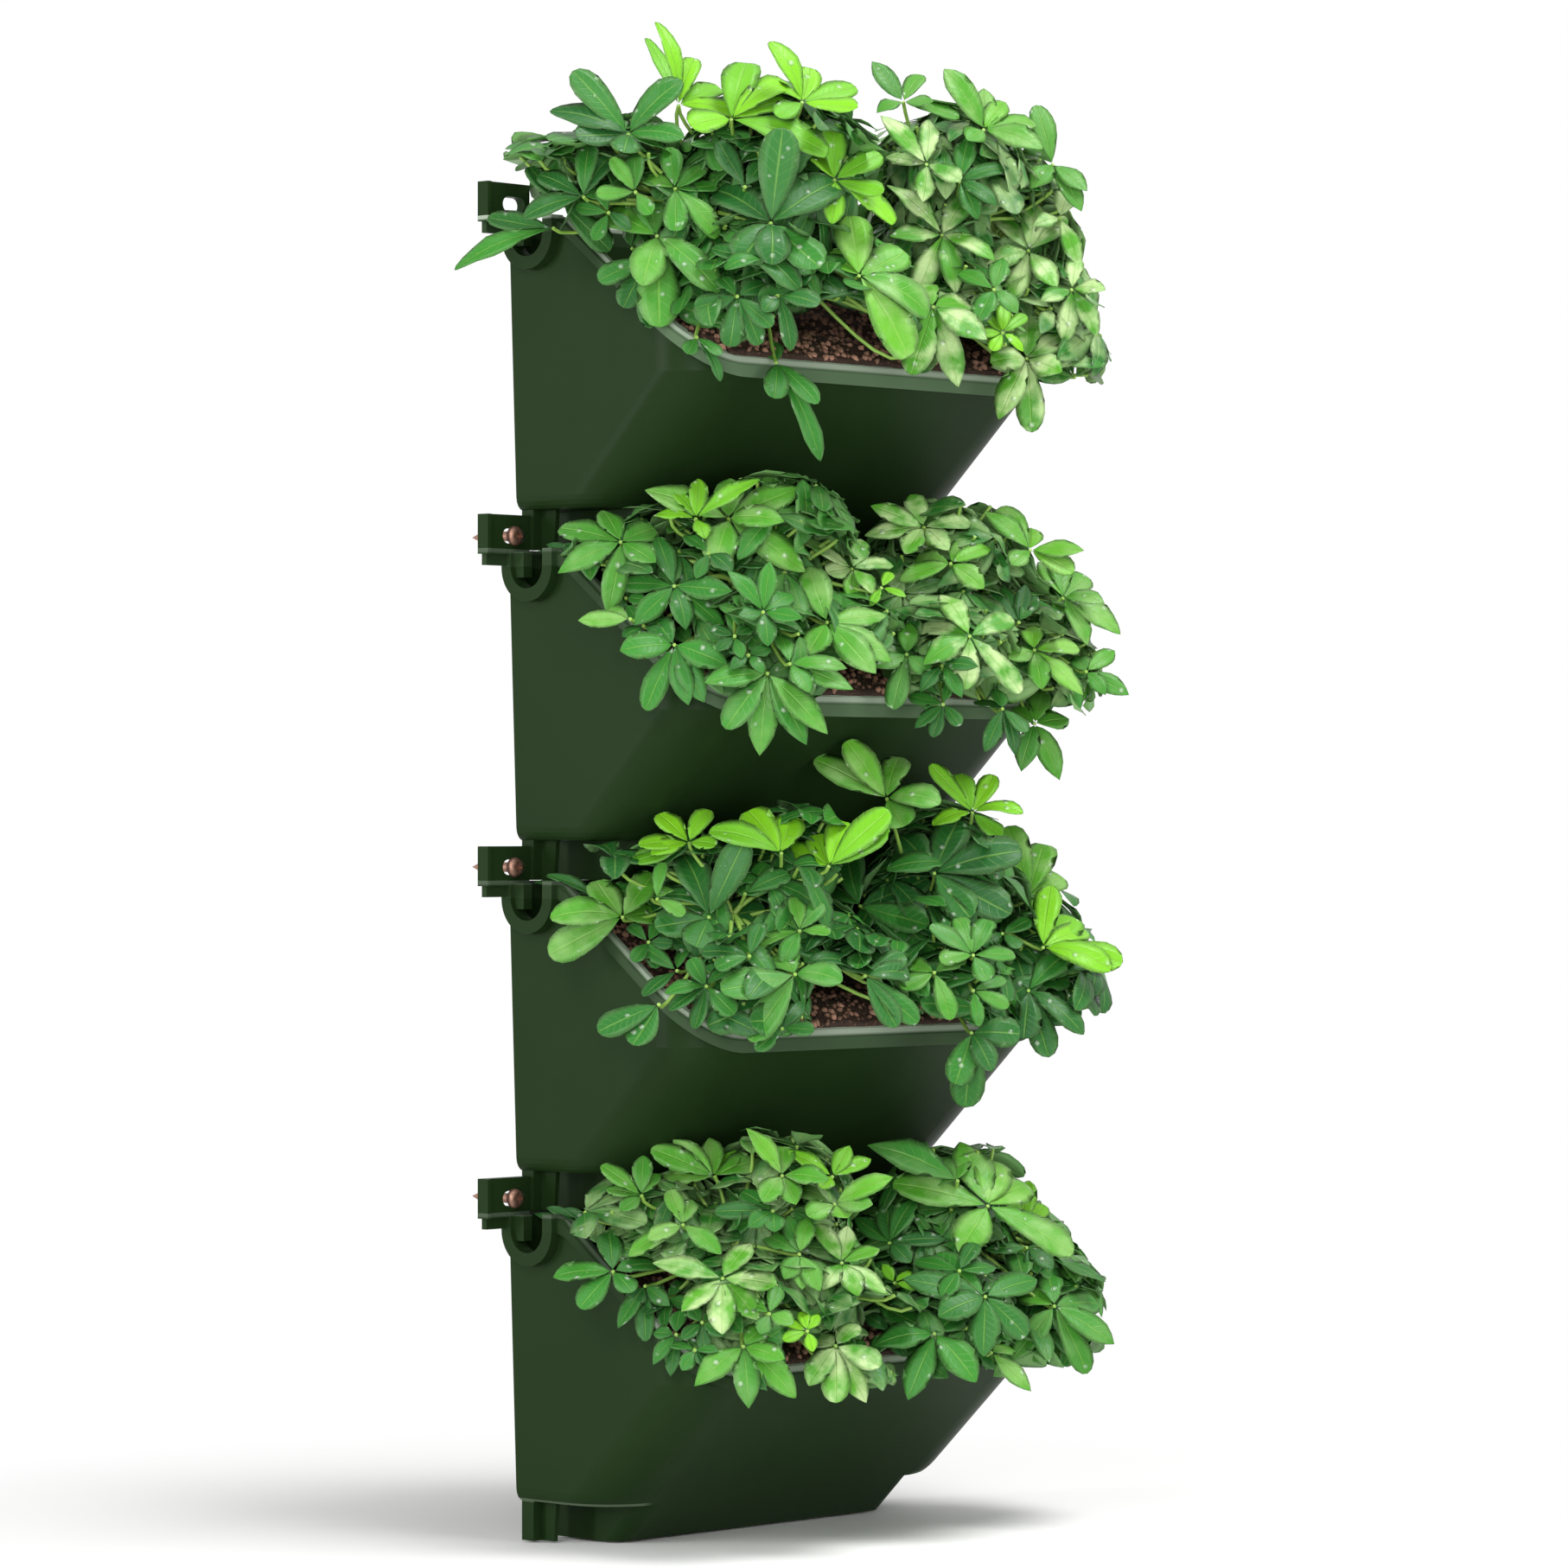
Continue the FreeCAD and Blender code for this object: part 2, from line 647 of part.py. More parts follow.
# Leaf masses of a crown: across, back from the front rim along the mouth, up from it, radius.
LOWER_LUMPS = {
    "left": [(-50, 45, 14, 42), (-88, 76, 18, 30), (-34, 8, 16, 36), (-78, 20, 12, 34),
             (-48, 62, 44, 34), (-112, 90, 12, 20)],
    "right": [(52, 45, 14, 42), (92, 70, 16, 32), (36, 8, 16, 34), (104, 14, 14, 34),
              (62, 56, 44, 34), (122, 44, 18, 26)],
}
TOP_LUMPS = {
    "left": [(-50, 45, 14, 42), (-88, 76, 22, 32), (-34, 12, 20, 38), (-78, 30, 20, 36),
             (-58, 70, 62, 36), (-112, 96, 30, 28), (-20, 70, 58, 30), (-136, 112, 10, 22)],
    "right": [(52, 45, 14, 42), (92, 70, 26, 34), (36, 8, 20, 36), (104, 14, 18, 34),
              (62, 72, 62, 36), (100, 60, 58, 30), (122, 44, 26, 28)],
}

pot = make_pot()
soil = make_soil()
screw = make_screw()
crowns = {}
stems = {}
for side, sign in (("left", -1), ("right", 1)):
    stems[side] = make_stems(f"{side}_stem_clump", sign * STEM_X, STEM_BACK)
    crowns["lower", side] = make_crown(f"lower_{side}_crown", side, True, LOWER_LUMPS[side])
    crowns["top", side] = make_crown(f"top_{side}_leaves", side, False, TOP_LUMPS[side])

nodes = []
screws = []
for level, word in enumerate(LEVELS):
    nodes.append(repeat(pot, f"{word}_pot", level))
    nodes.append(repeat(soil, f"{word}_soil", level))
    kind = "top" if word == "top" else "lower"
    for side, sign in (("left", -1), ("right", 1)):
        nodes.append(repeat(stems[side], f"{word}_{side}_stems", level))
        nodes.append(repeat(crowns[kind, side], f"{word}_{side}_foliage", level))
        if word != "top":
            copy = repeat(screw, f"{word}_{side}_screw", level, "slot_drop")
            bind(copy, "Placement.Base.x", f"{sign} * {SLOT_CENTRE}")
            bind(copy, "Placement.Base.y", f"-{EAR_FRONT}")
            screws.append(copy)
wall_screws = doc.addObject("Part::Compound", "wall_screws")
wall_screws.Links = screws
nodes.append(wall_screws)
doc.recompute()

failed = [item.Name for item in doc.Objects if {"Invalid", "Error"} & set(item.State)]
if failed:
    raise RuntimeError(f"these objects failed: {failed}")
shapes = {node.Label: Part.getShape(node) for node in nodes}
for label, shape in shapes.items():
    if shape.isNull() or not shape.isValid():
        raise RuntimeError(f"{label} has no valid shape")

os.makedirs("parts", exist_ok=True)
for label, shape in shapes.items():
    shape.exportStep(f"parts/{label}.step")
    print(f"{label}: {len(shape.Solids)} solids, {shape.Volume / 1000:.1f} cm3")
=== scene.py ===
# %% [markdown]
# Wall planter: four moulded pots in a stack, screwed to a wall, each planted with two umbrella plants.
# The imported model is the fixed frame. It gives every piece its place in metres: +X to the right,
# the front towards -Y, the wall at Y = 0 and +Z up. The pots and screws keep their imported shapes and
# get finishes. Soil, stems and leaves are rebuilt here as loose potting mix and real foliage.

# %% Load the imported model
import itertools
import math

import bmesh
import bpy
import numpy as np
from mathutils import Matrix, Vector
from mathutils.bvhtree import BVHTree


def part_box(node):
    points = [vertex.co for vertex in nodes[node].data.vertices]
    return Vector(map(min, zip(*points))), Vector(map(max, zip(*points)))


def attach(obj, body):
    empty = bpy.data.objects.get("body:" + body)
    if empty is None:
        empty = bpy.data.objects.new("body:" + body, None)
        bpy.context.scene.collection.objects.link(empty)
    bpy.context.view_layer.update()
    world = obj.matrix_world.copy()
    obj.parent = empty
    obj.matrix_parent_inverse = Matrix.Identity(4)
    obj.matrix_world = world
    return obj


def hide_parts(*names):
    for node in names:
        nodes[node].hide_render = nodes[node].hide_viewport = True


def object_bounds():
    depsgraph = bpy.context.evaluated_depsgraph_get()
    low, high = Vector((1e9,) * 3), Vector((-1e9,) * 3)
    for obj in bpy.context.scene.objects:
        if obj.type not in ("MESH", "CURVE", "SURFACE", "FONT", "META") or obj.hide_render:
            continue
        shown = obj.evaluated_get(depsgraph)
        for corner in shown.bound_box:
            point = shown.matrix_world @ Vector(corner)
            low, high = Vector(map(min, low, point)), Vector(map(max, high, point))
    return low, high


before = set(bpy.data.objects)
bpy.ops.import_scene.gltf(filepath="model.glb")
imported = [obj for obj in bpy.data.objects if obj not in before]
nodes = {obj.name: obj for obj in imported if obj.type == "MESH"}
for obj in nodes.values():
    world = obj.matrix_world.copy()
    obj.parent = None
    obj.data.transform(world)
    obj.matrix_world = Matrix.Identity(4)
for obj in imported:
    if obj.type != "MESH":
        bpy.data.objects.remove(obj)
cad_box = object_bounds()
LEVELS = ("bottom", "third", "second", "top")
SIDES = ("left", "right")
print("nodes:", len(nodes), "box:", [tuple(round(v, 3) for v in corner) for corner in cad_box])

# %% [markdown]
# The camera stands where the photographer stood: level with the middle of the stack and to its left,
# far enough away that upright edges stay upright. The picture is square, and its horizon lies a little
# below the middle, which a small lens shift gives without tilting the camera.

# %% Camera
PHOTO_SIDE = 1814
HORIZON_ROW = 945
FOCAL_PIXELS = 7022
VIEW_TURN = math.radians(47)
CAMERA_PLACE = Vector((-2.0499, -1.9695, 0.2449))
FORWARD = Vector((math.sin(VIEW_TURN), math.cos(VIEW_TURN), 0))
RIGHT = Vector((math.cos(VIEW_TURN), -math.sin(VIEW_TURN), 0))
UP = Vector((0, 0, 1))

lens = bpy.data.cameras.new("photo_camera")
lens.sensor_width = 36
lens.lens = lens.sensor_width * FOCAL_PIXELS / PHOTO_SIDE
lens.shift_y = (HORIZON_ROW - PHOTO_SIDE / 2) / PHOTO_SIDE
camera = bpy.data.objects.new("photo_camera", lens)
camera.location = CAMERA_PLACE
camera.rotation_euler = (math.pi / 2, 0, -VIEW_TURN)
bpy.context.scene.collection.objects.link(camera)
bpy.context.scene.camera = camera


def sight_line(column, row):
    """Direction from the camera through one pixel of the photograph."""
    aside = RIGHT * (column - PHOTO_SIDE / 2) / FOCAL_PIXELS
    rise = UP * (HORIZON_ROW - row) / FOCAL_PIXELS
    return (FORWARD + aside + rise).normalized()


def depth_of(point):
    """Distance of a point from the camera along its view."""
    return (point - CAMERA_PLACE).dot(FORWARD)


def pixel_of(point):
    """Column and row of the photograph where a point shows."""
    offset = point - CAMERA_PLACE
    scale = FOCAL_PIXELS / depth_of(point)
    return PHOTO_SIDE / 2 + scale * offset.dot(RIGHT), HORIZON_ROW - scale * offset.dot(UP)


print("lens:", round(lens.lens, 1), "mm")

# %% [markdown]
# A few small helpers serve every finish. Colours are written as sRGB hex values and turned to linear
# light. One function adds a node with its settings and links, and gives one of its outputs. A kind in
# capitals is a math node's operation. A range node takes a value, the two ends of its range, and what
# these become. A colour mix takes its share at input 0, its two colours at 6 and 7, and gives output 2.

# %% Helpers for colours and nodes
MM = 0.001


def linear(hex_colour):
    """Linear colour of an sRGB hex value."""
    parts = [int(hex_colour[i:i + 2], 16) / 255 for i in (1, 3, 5)]
    light = [c / 12.92 if c <= 0.04045 else ((c + 0.055) / 1.055) ** 2.4 for c in parts]
    return (*light, 1.0)


def add(tree, kind, inputs=(), output=0, **settings):
    """Output of a new node. Inputs, by name or in order, are values, hex colours or other outputs."""
    if kind.isupper():
        kind, settings = "ShaderNodeMath", {"operation": kind}
    item = tree.nodes.new(kind)
    for name, value in settings.items():
        setattr(item, name, value)
    for key, value in inputs.items() if isinstance(inputs, dict) else enumerate(inputs):
        if isinstance(value, bpy.types.NodeSocket):
            tree.links.new(value, item.inputs[key])
        elif isinstance(value, str) and value.startswith("#"):
            item.inputs[key].default_value = linear(value)
        else:
            item.inputs[key].default_value = value
    return item.outputs[output]


def new_material(name, roughness, ior=1.5, metallic=0.0):
    """A material with the constants of its finish on the shader, and the places on its object in metres."""
    material = bpy.data.materials.new(name)
    material.use_nodes = True
    shader = material.node_tree.nodes["Principled BSDF"]
    shader.inputs["Roughness"].default_value = roughness
    shader.inputs["IOR"].default_value = ior
    shader.inputs["Metallic"].default_value = metallic
    place = add(material.node_tree, "ShaderNodeTexCoord", output="Object")
    return material, material.node_tree, shader, place


def close_finish(tree, shader, colour, height, depth):
    """The end of a finish: its colour, and a relief of some depth in metres, read from a height pattern."""
    bump = add(tree, "ShaderNodeBump", {"Height": height, "Distance": depth, "Strength": 1.0})
    tree.links.new(colour, shader.inputs["Base Color"])
    tree.links.new(bump, shader.inputs["Normal"])


def coat(name, finish):
    """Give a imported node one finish."""
    nodes[name].data.materials.clear()
    nodes[name].data.materials.append(finish)


# %% [markdown]
# The pots are injection-moulded polypropylene, dark green all through. A spark-eroded mould leaves a
# fine even grain that breaks highlights into a dull satin sheen. The real grain is finer than half a
# millimetre, too fine to show, so it is drawn at 1.6 mm. Flow of the melt leaves faint broad mottling.
# The rim collar has a painted highlight: a paler grey green towards the front, stronger on the upper pots
# where more light falls, weakest on the bottom pot. Its lip has a paler painted highlight still, all the
# way round on the top pot. It is found by its place: the four pots are alike and stand one pitch apart,
# so a drop below the ears, folded by the pitch, serves all of them. The lower edge of the bottom pot's
# sides has a thin painted highlight too.

# %% Finish of the pots
GRAIN = 1.6 * MM
GRAIN_DEPTH = 0.03 * MM
MOTTLE = 45 * MM
PITCH = 150 * MM
EAR_TOP = 81.6 * MM
RIM_BACK_DROP = 15.7 * MM
RIM_BEND_REACH = 35.6 * MM
RIM_FRONT_REACH = 122 * MM
RIM_SLOPE = math.tan(math.radians(38.9))
COLLAR_HEIGHT = 7.7 * MM
COLLAR_SLACK = 0.2 * MM
COLLAR_FADE = (58 * MM, 104 * MM)
COLLAR_SHARES = (0.12, 0.85)
LIGHT_HEIGHT_RANGE = (-20 * MM, 420 * MM)
LEAST_HEIGHT_LIGHT = 0.12
LIP_HEIGHT = 2.0 * MM
LIP_FULL = 0.6 * LIP_HEIGHT
LIP_HIGHLIGHT_SHARE = 0.75
TOP_RIM_FROM = 440 * MM
TOP_LIP_HIGHLIGHT_SHARE = 0.8
FOOT_LIP = -65.3 * MM
FOOT_LIP_HALF = 0.8 * MM
FOOT_SIDE = (87 * MM, 92 * MM)
FOOT_HIGHLIGHT_SHARE = 0.6
plastic, tree, shader, place = new_material("moulded_polypropylene", roughness=0.4, ior=1.49)
shader.inputs["Specular IOR Level"].default_value = 0.06
axes = add(tree, "ShaderNodeSeparateXYZ", (place,)).node.outputs
below = add(tree, "SUBTRACT", (EAR_TOP, axes["Z"]))
drop = add(tree, "FLOORED_MODULO", (below, PITCH))
reach = add(tree, "MULTIPLY", (axes["Y"], -1.0))
past = add(tree, "SUBTRACT", (reach, RIM_BEND_REACH))
past = add(tree, "MAXIMUM", (past, 0.0))
rim_drop = add(tree, "MULTIPLY_ADD", (past, RIM_SLOPE, RIM_BACK_DROP))
under_rim = add(tree, "SUBTRACT", (drop, rim_drop))
in_band = add(tree, "COMPARE", (under_rim, COLLAR_HEIGHT / 2, COLLAR_HEIGHT / 2 + COLLAR_SLACK))
# Painted highlight on the collar: stronger towards the front and on the upper pots, where the light falls.
forward = add(tree, "ShaderNodeMapRange", (reach, *COLLAR_FADE, *COLLAR_SHARES))
collar_light_by_height = add(tree, "ShaderNodeMapRange", (axes["Z"], *LIGHT_HEIGHT_RANGE, LEAST_HEIGHT_LIGHT),
                interpolation_type="SMOOTHSTEP")
collar_highlight = add(tree, "MULTIPLY", (in_band, forward))
collar_highlight = add(tree, "MULTIPLY", (collar_highlight, collar_light_by_height))
# Painted highlight on the collar's lip, all the way round on the top pot.
near_lip = add(tree, "ShaderNodeMapRange", (under_rim, LIP_HEIGHT, LIP_FULL, 0.0, LIP_HIGHLIGHT_SHARE))
on_top_pot = add(tree, "GREATER_THAN", (axes["Z"], TOP_RIM_FROM))
lip_light = add(tree, "MULTIPLY", (on_top_pot, TOP_LIP_HIGHLIGHT_SHARE))
lip_light = add(tree, "MAXIMUM", (forward, lip_light))
lip_light = add(tree, "MULTIPLY", (lip_light, in_band))
lip_highlight = add(tree, "MULTIPLY", (lip_light, near_lip))
# Painted highlight along the lower edge of the bottom pot's sides.
at_foot = add(tree, "COMPARE", (axes["Z"], FOOT_LIP, FOOT_LIP_HALF))
aside = add(tree, "ABSOLUTE", (axes["X"],))
on_side = add(tree, "ShaderNodeMapRange", (aside, *FOOT_SIDE, 0.0, FOOT_HIGHLIGHT_SHARE))
foot = add(tree, "MULTIPLY", (at_foot, on_side))
mottle, grain = [add(tree, "ShaderNodeTexNoise", {"Vector": place, "Scale": 1 / size, "Detail": 2.0})
                 for size in (MOTTLE, GRAIN)]
# The mottling is the plastic's own colour; the collar, lip and foot layers are painted highlights.
green = "#182a12"
for mask, layer in ((mottle, "#1d3016"), (collar_highlight, "#566c51"), (lip_highlight, "#b9c6b4"), (foot, "#66785f")):
    green = add(tree, "ShaderNodeMix", {0: mask, 6: green, 7: layer}, 2, data_type="RGBA")
close_finish(tree, shader, green, grain, GRAIN_DEPTH)
for word in LEVELS:
    coat(f"{word}_pot", plastic)
print("pots finished:", len(LEVELS))

# %% [markdown]
# The wall screws are steel with a thin copper-brown plating. The plating is bright where a driver has
# rubbed it and dull in between, so colour and relief follow the same patchy pattern.

# %% Finish of the screws
RUB = 1.5 * MM
RUB_DEPTH = 0.05 * MM
plating, tree, shader, place = new_material("copper_plated_steel", roughness=0.52, metallic=1.0)
rubbed = add(tree, "ShaderNodeTexNoise", {"Vector": place, "Scale": 1 / RUB, "Detail": 4.0})
copper = add(tree, "ShaderNodeMix", {0: rubbed, 6: "#7d5a4c", 7: "#b6917f"}, 2, data_type="RGBA")
close_finish(tree, shader, copper, rubbed, RUB_DEPTH)
coat("wall_screws", plating)

# %% [markdown]
# Leaves have a waxy skin. Old leaves are a deep blue green, young ones a light yellow green, and some
# are pale and variegated, so each leaflet carries two numbers, its tone and its paleness, which the
# material reads as attributes. The leaf's own map runs across and along it: it draws the pale midrib
# and the side veins. A third attribute marks the lighter underside. Upper sides carry small drops of
# dew, round, smooth and raised, so they catch the light as points, and each drop also has a painted
# glint: its colour is pushed towards near white.

# %% Finish of the leaves
TONE_STOPS = ((0.0, "#1f5524"), (0.35, "#317826"), (0.7, "#549829"), (1.0, "#76ba20"))
PATCH = 14 * MM
PATCH_EDGES = (0.42, 0.62)
VEINS = 9.0
VEIN_SLANT = -0.35
VEIN_EDGES = (0.8, 1.0)
VEIN_SHARE = 0.3
RIB_EDGES = (0.045, 0.015)
LINE_SHARE = 0.24
LINE_RELIEF = -0.25
UNDER_SHARE = 0.45
DEW_SPACING = 9 * MM
DEW_SHARE = 0.18
DROP_EDGE = 0.05
GLINT_SHARE = 0.6
DRY_ROUGHNESS = 0.38
WET_ROUGHNESS = 0.06
LEAF_RELIEF = 1.0 * MM
waxy_leaf, tree, shader, place = new_material("waxy_leaf", roughness=DRY_ROUGHNESS, ior=1.45)
shader.inputs["Specular IOR Level"].default_value = 0.25
tone, paleness, under = [add(tree, "ShaderNodeAttribute", output="Fac", attribute_name=name)
                         for name in ("tone", "pale", "under")]
leaf_map = add(tree, "ShaderNodeUVMap", uv_map="UVMap")
spot = add(tree, "ShaderNodeSeparateXYZ", (leaf_map,)).node.outputs
centred = add(tree, "SUBTRACT", (spot["X"], 0.5))
from_rib = add(tree, "ABSOLUTE", (centred,))
colour = add(tree, "ShaderNodeValToRGB", (tone,))
ramp = colour.node.color_ramp
while len(ramp.elements) < len(TONE_STOPS):
    ramp.elements.new(0.5)
for element, (position, hex_colour) in zip(ramp.elements, TONE_STOPS):
    element.position = position
    element.color = linear(hex_colour)
patches = add(tree, "ShaderNodeTexNoise", {"Vector": place, "Scale": 1 / PATCH, "Detail": 3.0})
patchy = add(tree, "ShaderNodeMapRange", (patches, *PATCH_EDGES))
variegated = add(tree, "MULTIPLY", (patchy, paleness))
slant = add(tree, "MULTIPLY_ADD", (from_rib, VEIN_SLANT, spot["Y"]))
wave = add(tree, "MULTIPLY", (slant, VEINS * math.tau))
ripple = add(tree, "SINE", (wave,))
vein = add(tree, "ShaderNodeMapRange", (ripple, *VEIN_EDGES, 0.0, VEIN_SHARE))
rib = add(tree, "ShaderNodeMapRange", (from_rib, *RIB_EDGES))
lines = add(tree, "MAXIMUM", (vein, rib))
light_lines = add(tree, "MULTIPLY", (lines, LINE_SHARE))
pale_side = add(tree, "MULTIPLY", (under, UNDER_SHARE))
cells = add(tree, "ShaderNodeTexVoronoi", {"Vector": place, "Scale": 1 / DEW_SPACING}, "Distance")
dome = add(tree, "ShaderNodeMapRange", (cells, DEW_SHARE, 0.0))
upper = add(tree, "SUBTRACT", (1.0, under))
drop = add(tree, "MULTIPLY", (dome, upper))
on_drop = add(tree, "GREATER_THAN", (drop, DROP_EDGE))
# Painted glint: each dew drop's colour is pushed towards near white.
painted_glint = add(tree, "MULTIPLY", (drop, GLINT_SHARE))
for mask, layer in ((variegated, "#b4cd90"), (light_lines, "#93c25a"),
                    (pale_side, "#8fb37a"), (painted_glint, "#dcebd6")):
    colour = add(tree, "ShaderNodeMix", {0: mask, 6: colour, 7: layer}, 2, data_type="RGBA")
gloss = add(tree, "ShaderNodeMapRange", (on_drop, 0.0, 1.0, DRY_ROUGHNESS, WET_ROUGHNESS))
tree.links.new(gloss, shader.inputs["Roughness"])
relief = add(tree, "MULTIPLY_ADD", (lines, LINE_RELIEF, drop))
close_finish(tree, shader, colour, relief, LEAF_RELIEF)

# %% [markdown]
# Stalks are yellow green and smooth, and stems turn woody brown towards the soil. An attribute along each
# of them says how far up it is, so one material covers stems and stalks.

# %% Finish of the stems and stalks
STREAK = 3 * MM
STREAK_DEPTH = 0.15 * MM
WOODY_RANGE = (0.05, 0.4)
green_stalk, tree, shader, place = new_material("green_stalk", roughness=0.5, ior=1.45)
along = add(tree, "ShaderNodeAttribute", output="Fac", attribute_name="along")
streaks = add(tree, "ShaderNodeTexNoise", {"Vector": place, "Scale": 1 / STREAK, "Detail": 3.0})
grown = add(tree, "ShaderNodeMapRange", (along, *WOODY_RANGE))
woody, young = [add(tree, "ShaderNodeMix", {0: streaks, 6: dull, 7: bright}, 2, data_type="RGBA")
                for dull, bright in (("#5a4a2a", "#7a6a3c"), ("#6f9a3a", "#95bb55"))]
bark = add(tree, "ShaderNodeMix", {0: grown, 6: woody, 7: young}, 2, data_type="RGBA")
close_finish(tree, shader, bark, streaks, STREAK_DEPTH)

# %% [markdown]
# Potting mix is damp, dark and crumbly: brown peat with reddish bark chips and a few pale fibres. Each
# crumb carries its own number, which sets how dark or red it is.

# %% Finish of the soil
COARSE = 6 * MM
FINE = 1.5 * MM
FINE_DEPTH = 1.2 * MM
DARK_CHIPS = (0.4, 0.1)
DARK_SHARE = 0.8
RED_CHIPS = (0.45, 1.0)
FIBRE_EDGES = (0.62, 0.72)
FIBRE_SHARE = 0.6
potting_mix, tree, shader, place = new_material("damp_potting_mix", roughness=0.82, ior=1.4)
chip = add(tree, "ShaderNodeAttribute", output="Fac", attribute_name="chip")
coarse, fine = [add(tree, "ShaderNodeTexNoise", {"Vector": place, "Scale": 1 / size, "Detail": detail})
                for size, detail in ((COARSE, 5.0), (FINE, 4.0))]
dark = add(tree, "ShaderNodeMapRange", (chip, *DARK_CHIPS, 0.0, DARK_SHARE))
reddish = add(tree, "ShaderNodeMapRange", (chip, *RED_CHIPS))
fibre = add(tree, "ShaderNodeMapRange", (fine, *FIBRE_EDGES, 0.0, FIBRE_SHARE))
peat = "#463127"
for mask, layer in ((coarse, "#866350"), (dark, "#20140e"), (reddish, "#a87e69"), (fibre, "#9a7358")):
    peat = add(tree, "ShaderNodeMix", {0: mask, 6: peat, 7: layer}, 2, data_type="RGBA")
close_finish(tree, shader, peat, fine, FINE_DEPTH)

# %% [markdown]
# Geometry Nodes trees are built with a helper that makes their named inputs, and another helper runs a
# tree on a mesh and keeps the result as a plain mesh at the origin, with no modifier left on it.

# %% Helpers for Geometry Nodes
def new_tree(name, **inputs):
    """Empty tree with a geometry input and output, and one named input for each size or finish."""
    group = bpy.data.node_groups.new(name, "GeometryNodeTree")
    group.interface.new_socket("Geometry", in_out="INPUT", socket_type="NodeSocketGeometry")
    group.interface.new_socket("Geometry", in_out="OUTPUT", socket_type="NodeSocketGeometry")
    for label, kind in inputs.items():
        group.interface.new_socket(label, in_out="INPUT", socket_type=f"NodeSocket{kind}")
    start = group.nodes.new("NodeGroupInput")
    end = group.nodes.new("NodeGroupOutput")
    return group, start.outputs, end.inputs


def close_tree(group, end, geometry, finish):
    """The end of every tree: real geometry, smooth faces and the finish."""
    real = add(group, "GeometryNodeRealizeInstances", (geometry,))
    smooth = add(group, "GeometryNodeSetShadeSmooth", (real,))
    done = add(group, "GeometryNodeSetMaterial", {"Geometry": smooth, "Material": finish})
    group.links.new(done, end["Geometry"])


def grow(name, mesh, group, values, before=None):
    """Run a tree on a mesh and keep the result as one plain mesh object."""
    seed_object = bpy.data.objects.new(f"{name}_seed", mesh)
    bpy.context.scene.collection.objects.link(seed_object)
    if before:
        before(seed_object)
    modifier = seed_object.modifiers.new("grow", "NODES")
    modifier.node_group = group
    for item in group.interface.items_tree:
        if item.in_out == "INPUT" and item.name in values:
            modifier[item.identifier] = values[item.name]
    depsgraph = bpy.context.evaluated_depsgraph_get()
    grown_mesh = bpy.data.meshes.new_from_object(seed_object.evaluated_get(depsgraph), depsgraph=depsgraph)
    bpy.data.objects.remove(seed_object)
    grown_mesh.name = name
    piece = bpy.data.objects.new(name, grown_mesh)
    bpy.context.scene.collection.objects.link(piece)
    return piece


def store(mesh, name, kind, values):
    """Named attribute on a mesh's points."""
    field = "vector" if kind == "FLOAT_VECTOR" else "value"
    layer = mesh.attributes.new(name, kind, "POINT")
    layer.data.foreach_set(field, np.asarray(values).ravel())


def collect(name, objects):
    """Collection of templates, kept out of the scene, that a tree picks from."""
    shelf = bpy.data.collections.new(name)
    for item in objects:
        shelf.objects.link(item)
    return shelf


# %% [markdown]
# The soil bed starts from the packed soil solid, remeshed into even faces. A tree pushes its upper side
# up and down into clods, heaps it up towards the front so that it spills onto the inside of the rim,
# scatters crumbs over it, and turns and sizes each crumb at random.

# %% Soil beds
CRUMB_SHAPES = 4
CRUMB_DENTS = (0.65, 1.15)
CRUMB_FLATNESS = 0.8
CRUMB_SIZES = (0.35, 1.0)
SOIL_WELD = 0.01 * MM
SOIL_FACE = 2.5 * MM
SOIL_SIZES = {
    "Clod": 13 * MM, "Height": 12 * MM, "Heap": 8.4 * MM, "Spill": 5.4 * MM,
    "Crumb": 2.4 * MM, "Spacing": 2.6 * MM,
}
HEAP_RANGE = (-82 * MM, -104 * MM)
HEAP_CALM = -0.6
CRUMBS_FACING = 0.5
LOOSE_FACING = 0.25
soil_random = np.random.default_rng(11)
crumbs = []
for i in range(CRUMB_SHAPES):
    shape = bmesh.new()
    bmesh.ops.create_icosphere(shape, subdivisions=1, radius=1.0)
    for vertex in shape.verts:
        vertex.co *= soil_random.uniform(*CRUMB_DENTS)
        vertex.co.z *= CRUMB_FLATNESS
    crumb = bpy.data.meshes.new(f"crumb_{i}")
    shape.to_mesh(crumb)
    shape.free()
    crumbs.append(bpy.data.objects.new(f"crumb_{i}", crumb))

group, start, end = new_tree("crumbly_soil", **dict.fromkeys(SOIL_SIZES, "Float"), Seed="Int",
                             Crumbs="Collection", Finish="Material")
facing = add(group, "GeometryNodeInputNormal")
upward = add(group, "ShaderNodeSeparateXYZ", (facing,), "Z")
on_top = add(group, "FunctionNodeCompare", (upward, CRUMBS_FACING), operation="GREATER_THAN")
loose = add(group, "FunctionNodeCompare", (upward, LOOSE_FACING), operation="GREATER_THAN")
per_metre = add(group, "DIVIDE", (1.0, start["Clod"]))
lumps = add(group, "ShaderNodeTexNoise", {"Scale": per_metre, "Detail": 3.0})
level_lumps = add(group, "SUBTRACT", (lumps, 0.5))
heave = add(group, "MULTIPLY", (level_lumps, start["Height"]))
spot = add(group, "GeometryNodeInputPosition")
depth = add(group, "ShaderNodeSeparateXYZ", (spot,), "Y")
front = add(group, "ShaderNodeMapRange", (depth, *HEAP_RANGE), interpolation_type="SMOOTHSTEP")
calm = add(group, "MULTIPLY_ADD", (front, HEAP_CALM, 1.0))
heave = add(group, "MULTIPLY", (heave, calm))
rise = add(group, "MULTIPLY_ADD", (front, start["Heap"], heave))
